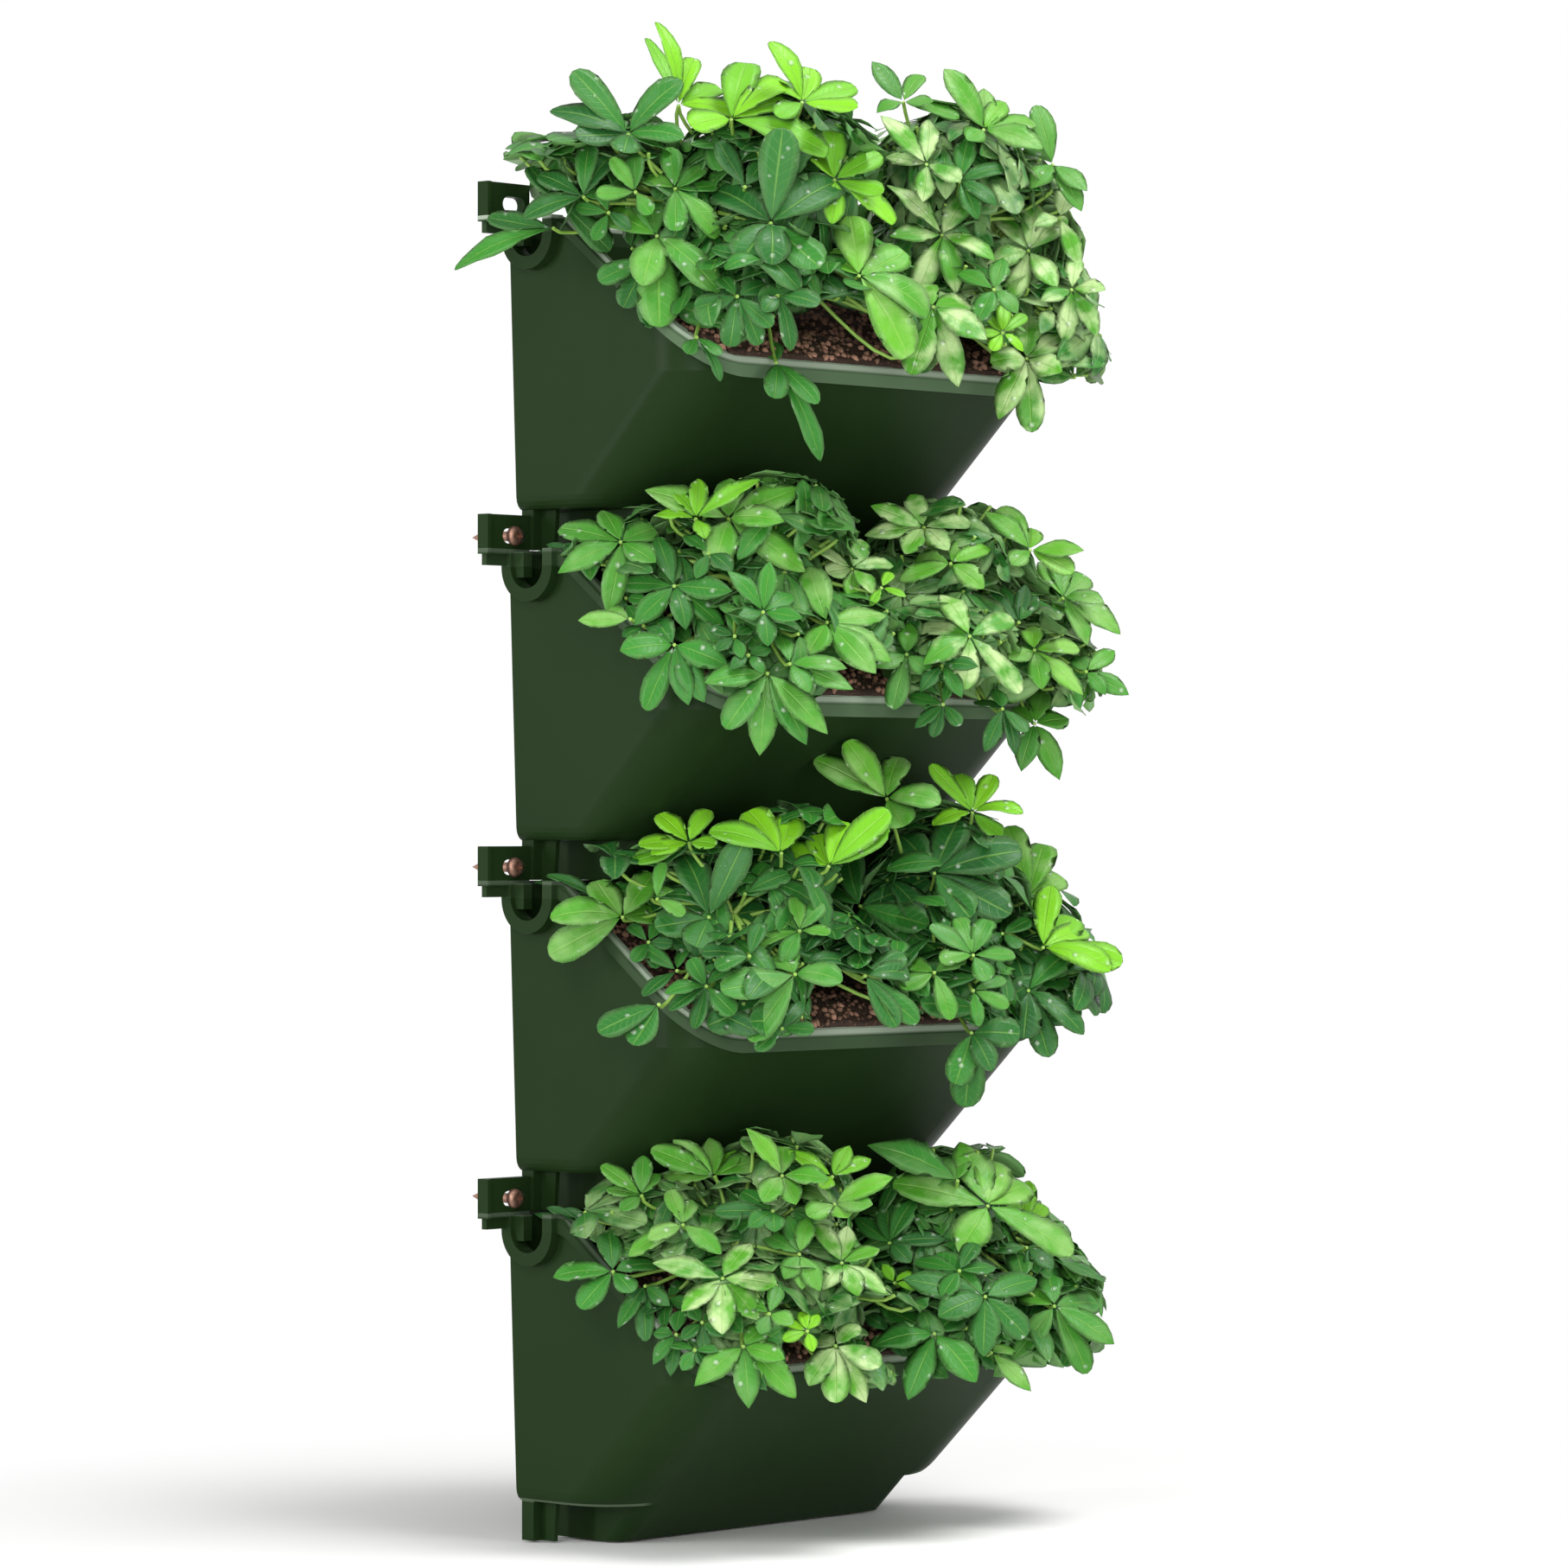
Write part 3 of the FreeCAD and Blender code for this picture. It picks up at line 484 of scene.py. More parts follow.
spill = add(group, "MULTIPLY", (front, start["Spill"]))
push = add(group, "MULTIPLY", (spill, -1.0))
shift = add(group, "ShaderNodeCombineXYZ", {"Y": push, "Z": rise})
bed = add(group, "GeometryNodeSetPosition",
          {"Geometry": start["Geometry"], "Selection": loose, "Offset": shift})
crowd = add(group, "DIVIDE", (1.0, start["Spacing"]))
dense = add(group, "POWER", (crowd, 2.0))
points = add(group, "GeometryNodeDistributePointsOnFaces",
             {"Mesh": bed, "Selection": on_top, "Distance Min": start["Spacing"], "Density Max": dense,
              "Seed": start["Seed"]}, "Points", distribute_method="POISSON")
turn = add(group, "FunctionNodeRandomValue", {1: (math.tau, math.tau, math.tau), "Seed": start["Seed"]},
           data_type="FLOAT_VECTOR")
spread, shade = [add(group, "FunctionNodeRandomValue", {2: low, 3: high, "Seed": start["Seed"]}, 1)
                 for low, high in (CRUMB_SIZES, (0.0, 1.0))]
crumb_size = add(group, "MULTIPLY", (spread, start["Crumb"]))
choice = add(group, "FunctionNodeRandomValue", {4: 0, 5: CRUMB_SHAPES - 1, "Seed": start["Seed"]}, 2,
             data_type="INT")
shelf = add(group, "GeometryNodeCollectionInfo",
            {"Collection": start["Crumbs"], "Separate Children": True, "Reset Children": True})
scattered = add(group, "GeometryNodeInstanceOnPoints",
                {"Points": points, "Instance": shelf, "Pick Instance": True, "Instance Index": choice,
                 "Rotation": turn, "Scale": crumb_size})
tinted = add(group, "GeometryNodeStoreNamedAttribute",
             {"Geometry": scattered, "Name": "chip", "Value": shade}, domain="INSTANCE")
joined = add(group, "GeometryNodeJoinGeometry", (tinted,))
group.links.new(bed, joined.node.inputs[0])
close_tree(group, end, joined, start["Finish"])
soil_tree = group
crumb_shelf = collect("crumbs", crumbs)


def even_faces(item):
    """Remesh the soil solid into faces of one size."""
    remesh = item.modifiers.new("even", "REMESH")
    remesh.mode = "VOXEL"
    remesh.voxel_size = SOIL_FACE


def body_for(word):
    """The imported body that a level's pieces ride on."""
    return "top_planter" if word == "top" else "lower_stack"


for seed, word in enumerate(LEVELS):
    solid = nodes[f"{word}_soil"].data.copy()
    shape = bmesh.new()
    shape.from_mesh(solid)
    bmesh.ops.remove_doubles(shape, verts=shape.verts, dist=SOIL_WELD)
    shape.to_mesh(solid)
    shape.free()
    bed = grow(f"{word}_soil_bed", solid, soil_tree,
               {**SOIL_SIZES, "Seed": seed, "Crumbs": crumb_shelf, "Finish": potting_mix}, even_faces)
    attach(bed, body_for(word))
    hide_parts(f"{word}_soil")
    print(bed.name, len(bed.data.polygons), "faces")

# %% [markdown]
# A leaflet is an egg-shaped blade, widest past its middle, that arches along its length and folds up a
# little along its midrib. It is modelled as a closed, very thin shell, in a few forms that differ in
# width, arch and fold, some with blunt tips and some with pointed ones. Its map runs across (0 to 1) and
# along (0 to 1), and its underside is marked.

# %% Leaflet forms
LEAF_ROWS = 9
LEAF_CUTS = (-1.0, -0.5, 0.0, 0.5, 1.0)
LEAF_THICKNESS = 0.009
UNDER_THICKNESS = -0.6
EGG_POWER = 0.75
BARE_SHARE = 0.03
LEAST_WIDTH = 0.05
FOLD_POWER = 1.5
LEAF_WAVES = 3
LEAF_FORMS = (
    # width, arch in degrees, fold, wave, how pointed the tip is
    (0.44, 18, 0.12, 0.10, 0.55),
    (0.48, 34, 0.16, -0.12, 0.45),
    (0.40, 50, 0.10, 0.16, 0.75),
    (0.50, 8, 0.06, -0.06, 0.5),
    (0.42, 62, 0.20, 0.10, 0.65),
    (0.46, -12, 0.22, 0.08, 0.5),
    (0.42, 22, 0.14, 0.10, 1.0),
    (0.46, 36, 0.18, -0.14, 0.9),
    (0.40, 48, 0.12, 0.18, 1.15),
    (0.44, 10, 0.10, -0.08, 1.05),
)
BLUNT = (0, 1, 2, 3, 4, 5)
POINTED = (0, 6, 7, 8, 9)


def half_width(t, width, point):
    """Half the blade's width at a share of its length: a thin stalk, then an egg shape."""
    def egg(share):
        return share ** EGG_POWER * (1 - share ** 2) ** point
    widest = math.sqrt(EGG_POWER / (EGG_POWER + 2 * point))
    share = max(0.0, (t - BARE_SHARE) / (1 - BARE_SHARE))
    return width / 2 * max(LEAST_WIDTH, egg(share) / egg(widest))


def make_leaflet(name, width, arch, fold, wave, point):
    """Closed leaflet of length 1 along X, upper side up, with its map and underside mark."""
    shares = [0.5 - 0.5 * math.cos(math.pi * i / LEAF_ROWS) for i in range(LEAF_ROWS + 1)]
    middle = [Vector((0, 0, 0))]
    for a, b in zip(shares, shares[1:]):
        slope = math.radians(arch) * (a + b) / 2
        middle.append(middle[-1] + Vector((math.cos(slope), 0, -math.sin(slope))) * (b - a))
    ring = [(c, 1) for c in LEAF_CUTS] + [(c, UNDER_THICKNESS) for c in reversed(LEAF_CUTS[1:-1])]
    points, places, marks = [middle[0]], [(0.5, 0.0)], [0.5]
    for t, centre in list(zip(shares, middle))[1:-1]:
        slope = math.radians(arch) * t
        square = Vector((math.sin(slope), 0, math.cos(slope)))
        half = half_width(t, width, point)
        for cut, face in ring:
            ripple = wave * half * cut * math.sin(LEAF_WAVES * math.pi * t)
            lift = fold * half * abs(cut) ** FOLD_POWER + ripple
            skin = face * LEAF_THICKNESS * math.sqrt(1 - cut * cut) * math.sin(math.pi * t)
            points.append(centre + Vector((0, half * cut, 0)) + square * (lift + skin))
            places.append((0.5 + 0.5 * cut, t))
            marks.append(0.5 if abs(cut) == 1 else (0.0 if face > 0 else 1.0))
    points.append(middle[-1])
    places.append((0.5, 1.0))
    marks.append(0.5)
    around = len(ring)
    faces = []
    for row in range(LEAF_ROWS - 2):
        for i in range(around):
            a, b = 1 + row * around + i, 1 + row * around + (i + 1) % around
            faces.append((a, b, b + around, a + around))
    last = len(points) - 1
    for i in range(around):
        j = (i + 1) % around
        faces.append((0, 1 + j, 1 + i))
        faces.append((last, last - around + i, last - around + j))
    mesh = bpy.data.meshes.new(name)
    mesh.from_pydata(points, [], faces)
    shape = bmesh.new()
    shape.from_mesh(mesh)
    bmesh.ops.recalc_face_normals(shape, faces=shape.faces)
    shape.to_mesh(mesh)
    shape.free()
    layer = mesh.uv_layers.new(name="UVMap")
    for loop in mesh.loops:
        layer.data[loop.index].uv = places[loop.vertex_index]
    store(mesh, "under", "FLOAT", marks)
    return bpy.data.objects.new(name, mesh)


leaf_shelf = collect("leaflets", [make_leaflet(f"leaflet_{i}", *form) for i, form in enumerate(LEAF_FORMS)])

# %% [markdown]
# Two trees grow a plant. One sets a leaflet on every point of a cloud, whose attributes say which form it
# takes, how it is turned and how large it is. The other sweeps a round section along every stalk's path.

# %% Trees for leaves and stalks
group, start, end = new_tree("leaflets_on_points", Leaflets="Collection", Finish="Material")
shelf = add(group, "GeometryNodeCollectionInfo",
            {"Collection": start["Leaflets"], "Separate Children": True, "Reset Children": True})
fields = (("form", "INT"), ("turn", "QUATERNION"), ("size", "FLOAT_VECTOR"))
form, turn, size = [add(group, "GeometryNodeInputNamedAttribute", {"Name": name}, "Attribute", data_type=kind)
                    for name, kind in fields]
leafy = add(group, "GeometryNodeInstanceOnPoints",
            {"Points": start["Geometry"], "Instance": shelf, "Pick Instance": True, "Instance Index": form,
             "Rotation": turn, "Scale": size})
close_tree(group, end, leafy, start["Finish"])
leaf_tree = group

group, start, end = new_tree("stalks_on_paths", Sides="Int", Finish="Material")
path = add(group, "GeometryNodeMeshToCurve", (start["Geometry"],))
section = add(group, "GeometryNodeCurvePrimitiveCircle", {"Resolution": start["Sides"], "Radius": 1.0})
thickness = add(group, "GeometryNodeInputNamedAttribute", {"Name": "thickness"}, "Attribute",
                data_type="FLOAT")
swept = add(group, "GeometryNodeCurveToMesh",
            {"Curve": path, "Profile Curve": section, "Scale": thickness, "Fill Caps": True})
close_tree(group, end, swept, start["Finish"])
stalk_tree = group

# %% [markdown]
# Leaves grow in whorls: leaflets spread like an umbrella's ribs from the end of one stalk. The whorls that
# show in the photograph are set by the pixel of their centre, on the outside of the plant's packed crown.
# They are written as column, row, leaflet length in pixels, kind, and the pixels of the leaflets' tips.
# Whorls that the photograph doesn't show fill the rest of the crown, and keep clear of those that show.

# %% Whorls read from the photograph
KINDS = {
    # kind: tone, paleness, breadth
    "fresh": (0.92, 0.0, 1.0),
    "light": (0.66, 0.25, 1.0),
    "mid": (0.45, 0.1, 1.0),
    "deep": (0.26, 0.0, 1.0),
    "dark": (0.14, 0.0, 1.0),
    "pale": (0.6, 0.9, 1.0),
    "slim": (0.25, 0.0, 0.55),
    "shoot": (0.92, 0.0, 0.5),
}
WHORLS = {
    "top_left": [
        (727, 155, 80, "dark", (664, 84), (638, 130), (668, 156), (788, 95), (790, 160), (722, 176)),
        (785, 122, 98, "shoot", (758, 28), (748, 46)),
        (785, 122, 70, "fresh", (803, 70), (832, 104), (860, 134)),
        (846, 138, 98, "fresh", (868, 112), (912, 100), (920, 124), (862, 75), (956, 178), (800, 146)),
        (928, 118, 75, "fresh", (890, 51), (937, 80), (988, 101), (990, 124), (902, 104), (900, 134)),
        (966, 208, 70, "fresh", (964, 143), (1018, 180), (1020, 222), (1033, 258), (936, 178), (962, 258)),
        (892, 258, 106, "dark", (905, 150), (965, 212), (830, 222), (893, 306), (948, 308), (858, 302)),
        (781, 218, 62, "mid", (774, 172), (748, 206), (782, 266), (829, 274), (812, 192), (828, 214)),
        (760, 273, 102, "mid", (700, 250), (763, 377), (831, 338), (748, 230), (744, 330)),
        (675, 228, 68, "dark", (624, 204), (608, 252), (683, 168), (716, 224), (706, 184)),
        (640, 264, 110, "slim", (528, 312), (566, 252)),
        (735, 222, 45, "mid", (708, 184), (735, 184), (692, 224), (752, 246)),
        (853, 343, 56, "dark", (806, 356), (845, 399), (892, 376), (833, 322), (884, 330), (878, 397)),
        (900, 342, 62, "dark", (914, 404), (946, 352), (884, 360)),
        (898, 420, 112, "slim", (948, 532), (945, 466), (896, 460), (890, 396)),
        (748, 302, 64, "dark", (694, 324), (752, 378), (722, 354)),
        (704, 246, 40, "dark", (668, 240), (688, 276), (728, 264), (694, 220)),
        (862, 216, 60, "dark", (832, 165), (884, 186)),
        (884, 300, 60, "dark", (826, 288), (840, 312)),
        (806, 390, 46, "dark", (796, 408), (832, 410), (832, 440)),
        (994, 319, 100, "light", (984, 251), (958, 292), (1046, 292), (1072, 364), (1050, 412)),
    ],
    "top_right": [
        (1045, 118, 58, "mid", (1010, 73), (1064, 88), (1108, 136), (1016, 131), (1078, 118)),
        (1072, 190, 60, "pale", (1026, 182), (1020, 136), (1074, 140), (1068, 232), (1110, 208)),
        (1138, 150, 74, "light", (1093, 82), (1138, 104), (1162, 120), (1198, 146), (1205, 172),
         (1120, 162)),
        (1218, 190, 70, "mid", (1199, 124), (1256, 220), (1250, 243), (1190, 166), (1194, 218)),
        (1090, 272, 76, "pale", (1026, 216), (1031, 274), (1062, 336), (1106, 340), (1150, 302),
         (1122, 218)),
        (1190, 290, 68, "pale", (1150, 248), (1196, 236), (1232, 252), (1168, 352), (1222, 332),
         (1142, 308)),
        (1080, 355, 84, "pale", (1055, 432), (1108, 446), (1140, 392), (1060, 330), (1120, 352)),
        (1160, 385, 42, "fresh", (1125, 386), (1140, 364), (1161, 350), (1186, 366), (1148, 404),
         (1182, 406)),
        (1188, 415, 84, "pale", (1190, 367), (1230, 386), (1227, 430), (1147, 420), (1156, 484),
         (1194, 498)),
        (1240, 335, 60, "pale", (1277, 336), (1268, 388), (1232, 395), (1206, 348), (1244, 296)),
        (1226, 252, 58, "pale", (1249, 308), (1196, 262), (1236, 220)),
        (1110, 210, 60, "dark", (1166, 196), (1152, 238), (1120, 160), (1130, 252)),
        (1150, 335, 62, "mid", (1132, 372), (1160, 300), (1112, 316), (1176, 362)),
        (1000, 232, 52, "mid", (1020, 200), (1030, 240), (990, 262)),
    ],
    "second_left": [
        (718, 627, 82, "mid", (649, 612), (647, 663), (697, 592), (757, 650), (703, 710), (756, 612)),
        (780, 678, 68, "deep", (721, 676), (734, 722), (845, 684), (793, 728), (838, 728), (760, 623)),
        (780, 746, 78, "deep", (719, 753), (748, 820), (814, 811), (840, 770), (757, 718), (796, 814)),
        (729, 716, 58, "light", (671, 718), (700, 708)),
        (843, 600, 96, "light", (845, 555), (926, 565), (930, 661), (828, 656), (748, 568), (906, 604)),
        (805, 600, 52, "fresh", (777, 568), (808, 556), (878, 556), (757, 598), (815, 622)),
        (883, 708, 58, "deep", (842, 662), (926, 715), (856, 712), (890, 652), (915, 690), (888, 746)),
        (888, 779, 92, "mid", (817, 790), (841, 842), (879, 872), (932, 860), (956, 848), (850, 770)),
        (957, 720, 84, "light", (934, 658), (1012, 778), (1030, 765), (1024, 712), (936, 756)),
        (986, 658, 64, "pale", (996, 626), (958, 662), (984, 692), (1008, 686), (1032, 656), (922, 620)),
        (914, 768, 62, "mid", (978, 774), (985, 797), (935, 800), (900, 736)),
        (1020, 680, 34, "fresh", (1008, 700), (1046, 690), (1030, 664)),
        (850, 736, 42, "dark", (820, 726), (868, 728), (858, 760), (830, 752)),
        (866, 758, 44, "dark", (846, 774), (890, 750), (882, 778), (842, 748)),
        (744, 724, 44, "dark", (778, 738), (766, 712), (722, 736), (726, 702)),
        (724, 692, 42, "dark", (704, 670), (712, 708), (746, 694), (738, 672)),
        (820, 640, 50, "dark", (792, 622), (806, 668), (846, 660)),
    ],
    "second_right": [
        (1069, 610, 64, "pale", (1009, 586), (1054, 574), (1120, 604), (1002, 620), (1048, 640),
         (1096, 636)),
        (1100, 652, 60, "light", (1145, 636), (1137, 680), (1042, 672), (1062, 646), (1115, 625)),
        (1192, 636, 68, "light", (1139, 594), (1159, 588), (1192, 612), (1252, 637), (1240, 662),
         (1170, 652)),
        (1230, 692, 74, "light", (1202, 652), (1222, 640), (1256, 668), (1276, 698), (1294, 733),
         (1257, 746)),
        (1122, 736, 74, "pale", (1088, 690), (1063, 728), (1069, 769), (1116, 796), (1180, 800),
         (1170, 716)),
        (1197, 752, 62, "light", (1205, 796), (1246, 750), (1252, 803), (1168, 762), (1192, 726)),
        (1257, 777, 58, "mid", (1288, 754), (1304, 803), (1278, 803), (1245, 760)),
        (1197, 837, 72, "mid", (1235, 832), (1225, 901), (1182, 891), (1172, 822), (1206, 800)),
        (1160, 820, 54, "dark", (1140, 868), (1128, 812), (1173, 872), (1152, 798), (1186, 846)),
        (1091, 815, 44, "dark", (1080, 851), (1110, 838), (1060, 841), (1054, 806), (1104, 784)),
        (1049, 757, 66, "mid", (1033, 819), (1015, 772), (1075, 780), (1052, 722)),
        (1179, 720, 52, "dark", (1142, 686), (1160, 680), (1186, 678), (1200, 692)),
        (1090, 770, 52, "dark", (1066, 800), (1112, 806), (1130, 772)),
    ],
    "third_left": [
        (720, 1061, 88, "light", (638, 1063), (637, 1104), (690, 1020), (755, 1012), (757, 1054)),
        (797, 975, 64, "fresh", (763, 943), (820, 939), (741, 978), (755, 989), (827, 978), (734, 996)),
        (904, 987, 86, "fresh", (866, 940), (915, 946), (822, 963), (852, 960)),
        (959, 1002, 80, "fresh", (902, 977), (977, 953), (1027, 939), (1026, 957), (946, 966)),
        (820, 1061, 98, "dark", (862, 972), (790, 992), (885, 1052), (806, 1094), (760, 1072)),
        (920, 1127, 92, "mid", (836, 1145), (869, 1203), (973, 1136), (900, 1104)),
        (925, 1077, 54, "mid", (871, 1098), (907, 1113), (958, 1081), (894, 1046), (950, 1046),
         (918, 1040)),
        (817, 1141, 52, "dark", (771, 1150), (804, 1188), (848, 1172), (776, 1168), (846, 1122),
         (800, 1110)),
        (762, 1162, 76, "dark", (694, 1193), (733, 1207)),
        (783, 1123, 48, "dark", (748, 1098), (746, 1152), (796, 1098)),
        (867, 1106, 54, "dark", (815, 1102), (830, 1120), (880, 1070)),
        (862, 1034, 56, "dark", (911, 1012), (886, 1000)),
        (905, 1190, 46, "dark", (876, 1214), (940, 1192), (928, 1162)),
        (760, 1040, 44, "mid", (768, 1000), (776, 1030), (790, 1058)),
        (750, 1090, 44, "dark", (730, 1072), (734, 1112), (776, 1092), (764, 1068), (760, 1118)),
        (1001, 1129, 66, "dark", (1050, 1128), (1061, 1182), (1037, 1186), (1046, 1106)),
    ],
    "third_right": [
        (1026, 924, 90, "light", (943, 880), (979, 859), (1041, 878), (1087, 930), (1044, 955)),
        (1125, 940, 60, "fresh", (1077, 886), (1108, 898), (1149, 898), (1182, 942), (1157, 966),
         (1080, 955)),
        (1190, 1037, 84, "light", (1166, 958), (1207, 979), (1228, 1016), (1214, 1050)),
        (1081, 1010, 102, "dark", (1108, 950), (1180, 985), (1122, 1060), (1042, 968), (1168, 1056)),
        (995, 1048, 92, "dark", (1073, 1016), (1073, 1069), (1089, 1105), (963, 1026), (982, 992)),
        (1081, 1125, 60, "mid", (1100, 1178), (1048, 1112), (1112, 1108), (1044, 1142)),
        (1126, 1105, 54, "mid", (1077, 1072), (1108, 1064), (1142, 1066), (1089, 1112), (1142, 1133),
         (1172, 1104)),
        (1207, 1096, 92, "fresh", (1216, 1026), (1240, 1062), (1257, 1080), (1297, 1112), (1284, 1122)),
        (1190, 1146, 82, "dark", (1238, 1102), (1175, 1106), (1252, 1196), (1185, 1200), (1213, 1221)),
        (1124, 1195, 84, "dark", (1106, 1253), (1117, 1279), (1147, 1238), (1178, 1196)),
        (1126, 1146, 46, "mid", (1133, 1186), (1165, 1164), (1162, 1134)),
        (1160, 1080, 46, "dark", (1190, 1064), (1178, 1096), (1140, 1090)),
    ],
    "bottom_left": [
        (709, 1471, 68, "deep", (642, 1478), (672, 1512), (704, 1428), (760, 1466), (730, 1494)),
        (742, 1383, 56, "mid", (697, 1350), (744, 1339), (703, 1376), (719, 1400), (762, 1360)),
        (827, 1361, 74, "light", (755, 1330), (780, 1320), (820, 1318), (850, 1332), (884, 1345),
         (768, 1360)),
        (790, 1417, 58, "light", (751, 1434), (833, 1450), (800, 1390), (776, 1378), (729, 1453)),
        (836, 1479, 76, "pale", (757, 1462), (790, 1516), (836, 1542), (877, 1526), (896, 1486),
         (868, 1440)),
        (860, 1558, 76, "mid", (805, 1603), (866, 1628), (919, 1616), (884, 1538), (906, 1572)),
        (925, 1451, 58, "mid", (882, 1431), (912, 1408), (934, 1410), (908, 1478), (928, 1490),
         (948, 1492)),
        (905, 1360, 66, "light", (864, 1307), (906, 1328), (957, 1366), (920, 1392), (884, 1390)),
        (963, 1361, 58, "fresh", (912, 1333), (982, 1327), (1006, 1342), (950, 1374)),
        (967, 1557, 74, "pale", (938, 1548), (937, 1602), (967, 1621), (1001, 1621), (1017, 1580),
         (992, 1533)),
        (934, 1540, 38, "fresh", (905, 1527), (908, 1550), (928, 1519), (946, 1522), (940, 1562)),
        (746, 1488, 54, "dark", (716, 1535), (747, 1550), (774, 1510), (730, 1512)),
        (782, 1544, 48, "dark", (757, 1578), (776, 1590), (787, 1518), (812, 1562), (758, 1543)),
        (894, 1401, 58, "dark", (829, 1402), (860, 1380), (866, 1420), (896, 1424)),
        (974, 1461, 62, "pale", (943, 1418), (953, 1492), (1016, 1446), (1025, 1496), (992, 1498),
         (980, 1420)),
        (890, 1520, 50, "mid", (862, 1508), (900, 1490), (916, 1532), (880, 1542)),
        (966, 1393, 68, "light", (924, 1377), (935, 1405), (980, 1408), (1032, 1363), (1008, 1394)),
        (772, 1502, 44, "dark", (746, 1520), (768, 1538), (800, 1512), (790, 1484), (752, 1486)),
        (812, 1530, 44, "dark", (790, 1548), (816, 1566), (838, 1544), (834, 1514), (798, 1510)),
        (804, 1562, 40, "dark", (778, 1556), (790, 1584), (816, 1582), (830, 1564)),
    ],
    "bottom_right": [
        (1143, 1395, 108, "light", (1111, 1323), (1150, 1345), (1034, 1370), (1110, 1448), (1187, 1372),
         (1240, 1450)),
        (1108, 1366, 110, "mid", (1004, 1326), (1098, 1346), (1060, 1352)),
        (1029, 1438, 66, "dark", (990, 1410), (1026, 1390), (1058, 1388), (1093, 1434), (1052, 1460)),
        (1140, 1500, 86, "deep", (1083, 1453), (1198, 1481), (1046, 1480), (1087, 1523), (1138, 1568),
         (1186, 1545)),
        (1081, 1543, 86, "deep", (1019, 1513), (1012, 1558), (1051, 1618), (1128, 1598), (1114, 1518)),
        (1220, 1511, 80, "mid", (1178, 1500), (1268, 1508), (1287, 1554), (1257, 1587), (1173, 1572),
         (1212, 1474)),
        (1147, 1565, 64, "light", (1191, 1608), (1168, 1560), (1120, 1560)),
        (1180, 1420, 62, "fresh", (1208, 1396), (1226, 1427), (1156, 1346), (1190, 1368)),
        (1188, 1443, 54, "dark", (1141, 1446), (1217, 1467), (1200, 1472)),
        (1035, 1484, 34, "fresh", (1052, 1472), (1022, 1464), (1060, 1490)),
        (1110, 1470, 60, "dark", (1090, 1500), (1060, 1460), (1150, 1466), (1128, 1440)),
        (1030, 1540, 50, "dark", (1002, 1522), (1058, 1530), (1046, 1568), (1010, 1566)),
    ],
}
BARE_SPOTS = [
    # column, row and radius of the places where the photograph shows bare soil, and of the top ear
    (955, 388, 48), (1005, 404, 42), (1122, 414, 28), (800, 388, 18), (985, 800, 38),
    (975, 1165, 46), (1015, 1178, 36), (1076, 1182, 22), (922, 1568, 24), (588, 232, 34),
]
print("whorls from the photograph:", sum(len(rows) for rows in WHORLS.values()))

# %% [markdown]
# A leaflet may touch nothing hard, so each one is tried against the pots and the soil: a ray runs from
# its stalk to its tip and to its two widest points. Where one is stopped, the leaflet is lifted, and if
# it is still stopped, it is left out, as it would be where there is no room to grow.

# %% Room to grow
def surface_of(names):
    """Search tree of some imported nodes' surfaces."""
    corners, faces = [], []
    for name in names:
        mesh = nodes[name].data
        first = len(corners)
        corners.extend(vertex.co.copy() for vertex in mesh.vertices)
        faces.extend([first + i for i in face.vertices] for face in mesh.polygons)
    return BVHTree.FromPolygons(corners, faces)


hard = surface_of([f"{word}_{part}" for word in LEVELS for part in ("pot", "soil")])


def is_clear(first, last):
    """True where the straight way between two points meets no hard surface."""
    way = last - first
    return hard.ray_cast(first, way.normalized(), way.length)[0] is None


def hides_bare_spot(column, row):
    """True where a pixel shows soil or an ear in the photograph."""
    return any(math.hypot(column - x, row - y) < radius for x, y, radius in BARE_SPOTS)


# %% [markdown]
# One plant: three stems rise from the soil, stalks leave them and curve out to the whorls, and leaflets
# spread from each stalk's end. The whorls of all the plants that show in the photograph come first, so
# that those that fill the crowns can keep clear of them. Numbers without MM for places, steps, lengths
# and sinks are millimetres too, droops are degrees, and shares are parts of a length.

# %% Plants
LEAF_LIMIT = cad_box[0] - Vector((13, 8, 0)) * MM
LEAF_FAR = cad_box[1].x + 9 * MM
WALL_GAP = 6 * MM
OUTLINE_SLACK = 3 * MM
SIGHT_DEPTHS = np.linspace(2.5, 3.2, 141)

# Leaflets
WIDEST_SHARE = 0.65
WIDEST_SIDES = (-0.22, 0.22)
TONE_SPREAD = 0.13
WIDTH_SPREAD = (0.9, 1.1)
LEAF_FIELDS = (
    ("turn", "QUATERNION"), ("size", "FLOAT_VECTOR"), ("form", "INT"), ("tone", "FLOAT"), ("pale", "FLOAT"),
)

# Whorls that show
SHOWN_SHARES = (0.2, 0.45, 0.7, 0.92)
SHOWN_RADIUS = 14
HUB_CLEAR = 14 * MM
HUB_STEPS = (3, 10, 20, 32, 44, 58)
TIP_STEPS = (range(0, 20, 6), range(0, 48, 8))
EYE_PULL = 0.6
UP_PULL = 0.5
CROWN_PULL = 0.2
SHOWN_SCATTER = 0.15
LEAN_BACK = 0.55
LEAN_FORWARD = 0.3

